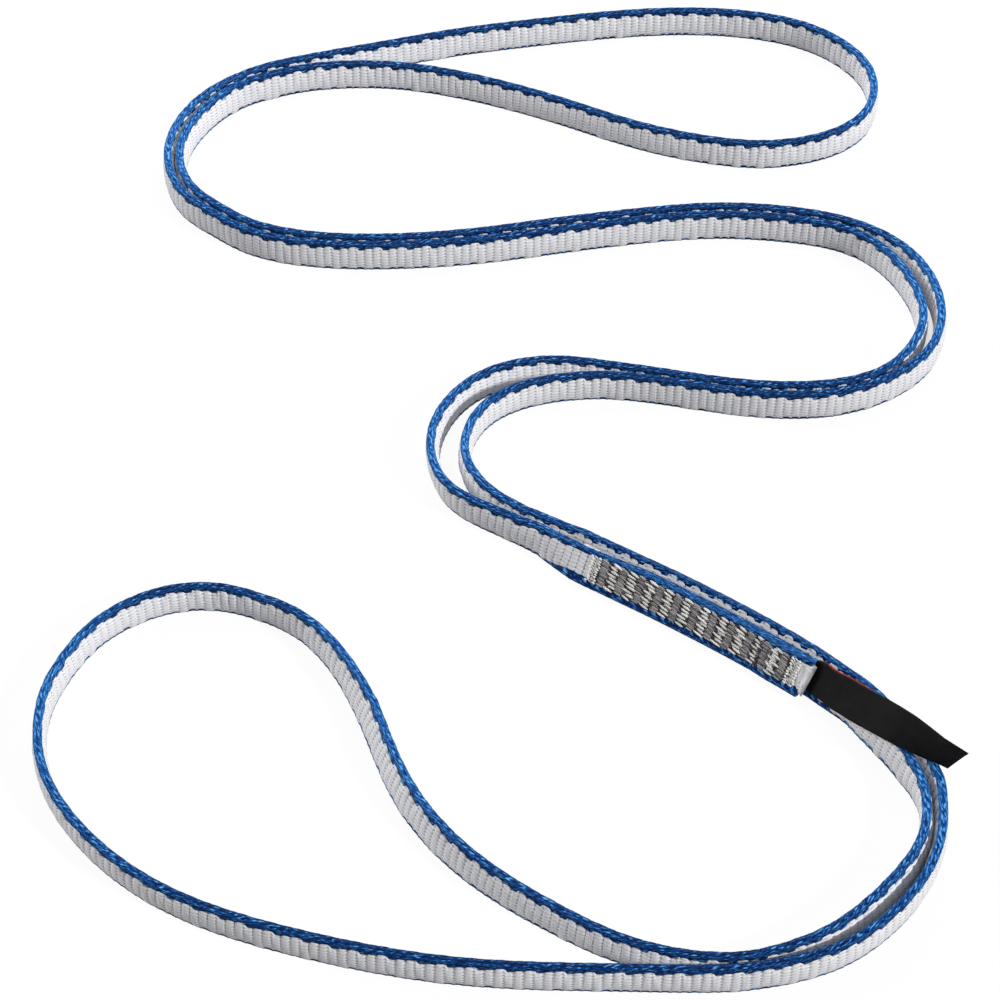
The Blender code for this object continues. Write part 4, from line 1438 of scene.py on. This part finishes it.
def labelSheet(name, side, material):
    # A ply: rings across the ribbon, each a flat loop of its two faces, cut on the slant
    first = -labelSizes["foldSpace"] - spliceSizes["labelSewnLength"] + labelSizes["sewnShort"]
    last = labelLine()[0][-1] - labelSizes["tipSlant"] / 2.0 - labelSizes["rearShort"] * (side < 0.0)
    stations = np.linspace(first, last, labelSizes["rings"])[:, None]
    share = np.linspace(-0.5, 0.5, labelSizes["acrossSteps"] + 1)
    share = np.tile(np.concatenate([share, share[::-1]]), (len(stations), 1))
    face = np.where(np.arange(share.shape[1]) < share.shape[1] / 2, 1.0, -1.0)
    ramp = labelSizes["slantRamp"]
    slant = labelSizes["tipSlant"] * np.clip((stations - last + ramp) / ramp, 0.0, 1.0)
    s = (stations + share * slant).ravel()
    line, through, up = labelFrame(s)
    loose = np.clip(s / labelSizes["looseRamp"] + 0.5, 0.0, 1.0)
    thick = labelSizes["sewnPly"] + (labelSizes["ply"] - labelSizes["sewnPly"]) * loose
    apart = thick / 2.0 + labelSizes["plyGap"] / 2.0 * loose
    phase = s / labelSizes["waveLength"] + share.ravel() * labelSizes["waveSlant"]
    ripple = labelSizes["wave"] * loose * np.sin(phase)
    across = side * apart + np.tile(face, len(stations)) * thick / 2.0 + ripple
    wide = labelSizes["sewnWidth"] + (labelSizes["width"] - labelSizes["sewnWidth"]) * loose
    rise = np.interp(s / millimetre, *zip(*labelRises)) * millimetre
    rearShown = ramped(s, 0.0, labelSizes["rearFull"])
    rearHidden = ramped(s, labelSizes["rearEnd"] / 2.0, labelSizes["rearEnd"])
    rearRise = labelSizes["rearRise"] * rearShown - labelSizes["rearSink"] * rearHidden
    rise = rise + rearRise * (side < 0.0) * (share.ravel() + 0.5)
    made = line + through * across[:, None] + up * (share.ravel() * wide + rise)[:, None]
    around = share * labelSizes["width"] / millimetre + (face < 0.0) * labelSizes["backMap"]
    along = stations[:, 0] / millimetre
    return tubePiece(name, made.reshape(len(stations), -1, 3), around, along, {}, material)


labelFront = labelSheet("labelFrontPly", 1.0, blackRibbon)
labelRear = labelSheet("labelRearPly", -1.0, redRibbon)
hingePlace = tape.spliceStart - labelSizes["foldSpace"]
hingeMiddle = gapMiddle(np.array(tape.spliceStart))
hinge = tape.point(np.array(hingePlace), hingeMiddle, np.array(labelSizes["rootHeight"]))
_, hingeWay, _, _ = tape.frame(np.array(hingePlace))
bendStart = hinge + hingeWay * labelSizes["bendBefore"]
bendEnd = hinge - hingeWay * labelSizes["bendAfter"]
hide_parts("label_front_ply", "label_sewn_end")
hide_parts("label_rear_ply")
for ply in (labelFront, labelRear):
    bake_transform(ply)
print("label made")

# Each run's line at the tape's mid-width, with a point every few millimetres, and the pieces that go
# with it: they are only worked out here
cordStep = 0.004
for runName, (start, end, _) in runs.items():
    linePlaces = np.arange(start, end, cordStep)
    linePlaces = np.append(linePlaces, end)
    line = tape.point(linePlaces, tapeMiddle(linePlaces), tapeSizes["width"] / 2.0)
    ground, upperEdge, lowerEdge = runPieces[runName]
    withPieces = [upperEdge, lowerEdge]
    if runName == "frontStrand":
        withPieces += tackPieces + [hotCutPieces["hot_cut_end_at_label"]]
    if runName == "lappedStrand":
        withPieces.append(hotCutPieces["hot_cut_end_far"])
    float(end - start)

# Floor and light
floorSizes = {
    "side": 6.0,
    "shadowShare": 0.06,
    "crackHeight": 0.012,
    "crackDark": 0.03,
    "crackOpen": 0.08,
    "crackSamples": 8,
    "roughness": 0.9,
    "seen": (1.0, 1.0, 1.0, 1.0),
    "bounce": (0.42, 0.42, 0.43, 1.0),
    "glossy": 1.0,
}


def seenRays(tree, glossyShare):
    # 1 for what the camera sees directly or through glass, and a share of it for reflections
    rays = tree.nodes.new("ShaderNodeLightPath")
    camera = Wire(tree, rays.outputs["Is Camera Ray"])
    glossy = Wire(tree, rays.outputs["Is Glossy Ray"]) * glossyShare
    through = Wire(tree, rays.outputs["Is Transmission Ray"])
    return camera.math("MAXIMUM", camera.math("MAXIMUM", camera, glossy), through)


def makeFloor(sizes):
    # A pale floor that the camera sees as white, with the sling's soft shadow on it. Between two
    # strands that stand close together it's in the dark.
    half = sizes["side"] / 2.0
    mesh = bpy.data.meshes.new("floor")
    corners = [(-half, -half, 0.0), (half, -half, 0.0), (half, half, 0.0), (-half, half, 0.0)]
    mesh.from_pydata(corners, [], [(0, 1, 2, 3)])
    floor = bpy.data.objects.new("floor", mesh)
    bpy.context.scene.collection.objects.link(floor)
    material = bpy.data.materials.new("paleFloor")
    material.use_nodes = True
    tree = material.node_tree
    shader = tree.nodes["Principled BSDF"]
    shader.inputs["Roughness"].default_value = sizes["roughness"]
    shader.inputs["Specular IOR Level"].default_value = 0.0
    seen = seenRays(tree, sizes["glossy"])
    seen.join(seen.blendColours(sizes["bounce"], sizes["seen"]), shader.inputs["Base Color"])
    white = seen.node("ShaderNodeEmission", {}, {"Color": sizes["seen"], "Strength": 1.0})
    settings = {"samples": sizes["crackSamples"]}
    reach = {"Distance": sizes["crackHeight"]}
    near = seen.node("ShaderNodeAmbientOcclusion", settings, reach, output=1)
    open = ((near - sizes["crackDark"]) / (sizes["crackOpen"] - sizes["crackDark"])).limited()
    share = seen * open * (1.0 - sizes["shadowShare"])
    body = Wire(tree, shader.outputs[0])
    mixed = share.node("ShaderNodeMixShader", {}, {0: share, 1: body, 2: white})
    tree.links.new(mixed.socket, tree.nodes["Material Output"].inputs["Surface"])
    mesh.materials.append(material)


makeFloor(floorSizes)

# Each lamp stands at an angle round the sling, from +X towards +Y, and over the floor
lampSizes = {
    "keyLamp": {"azimuth": -27.0, "elevation": 34.0, "strength": 3.00, "spread": 8.0},
    "backLamp": {"azimuth": 162.0, "elevation": 25.0, "strength": 1.90, "spread": 20.0},
}
# A wide lamp over the far end, so that its light falls off towards the viewer
wideLampSizes = {"place": (0.0, 0.45, 0.55), "tilt": -36.0, "size": 0.5, "power": 3.0}
worldSizes = {"light": 0.16, "glossy": 0.5}


def makeLamp(name, sizes):
    data = bpy.data.lights.new(name, "SUN")
    data.energy = sizes["strength"]
    data.angle = math.radians(sizes["spread"])
    lamp = bpy.data.objects.new(name, data)
    tilt = math.pi / 2.0 - math.radians(sizes["elevation"])
    lamp.rotation_euler = (tilt, 0.0, math.radians(sizes["azimuth"]) + math.pi / 2.0)
    bpy.context.scene.collection.objects.link(lamp)


def makeWideLamp(sizes):
    data = bpy.data.lights.new("wideLamp", "AREA")
    data.energy = sizes["power"]
    data.size = sizes["size"]
    lamp = bpy.data.objects.new("wideLamp", data)
    lamp.location = sizes["place"]
    lamp.rotation_euler = (math.radians(sizes["tilt"]), 0.0, 0.0)
    bpy.context.scene.collection.objects.link(lamp)


def makeWorld(sizes):
    world = bpy.data.worlds.new("studio")
    world.use_nodes = True
    tree = world.node_tree
    background = tree.nodes["Background"]
    background.inputs["Color"].default_value = (1.0, 1.0, 1.0, 1.0)
    seen = seenRays(tree, sizes["glossy"])
    seen.join(seen * (1.0 - sizes["light"]) + sizes["light"], background.inputs["Strength"])
    bpy.context.scene.world = world


for lampName, sizes in lampSizes.items():
    makeLamp(lampName, sizes)
makeWideLamp(wideLampSizes)
makeWorld(worldSizes)
bpy.context.scene.view_settings.view_transform = "Standard"
print("floor and light set")
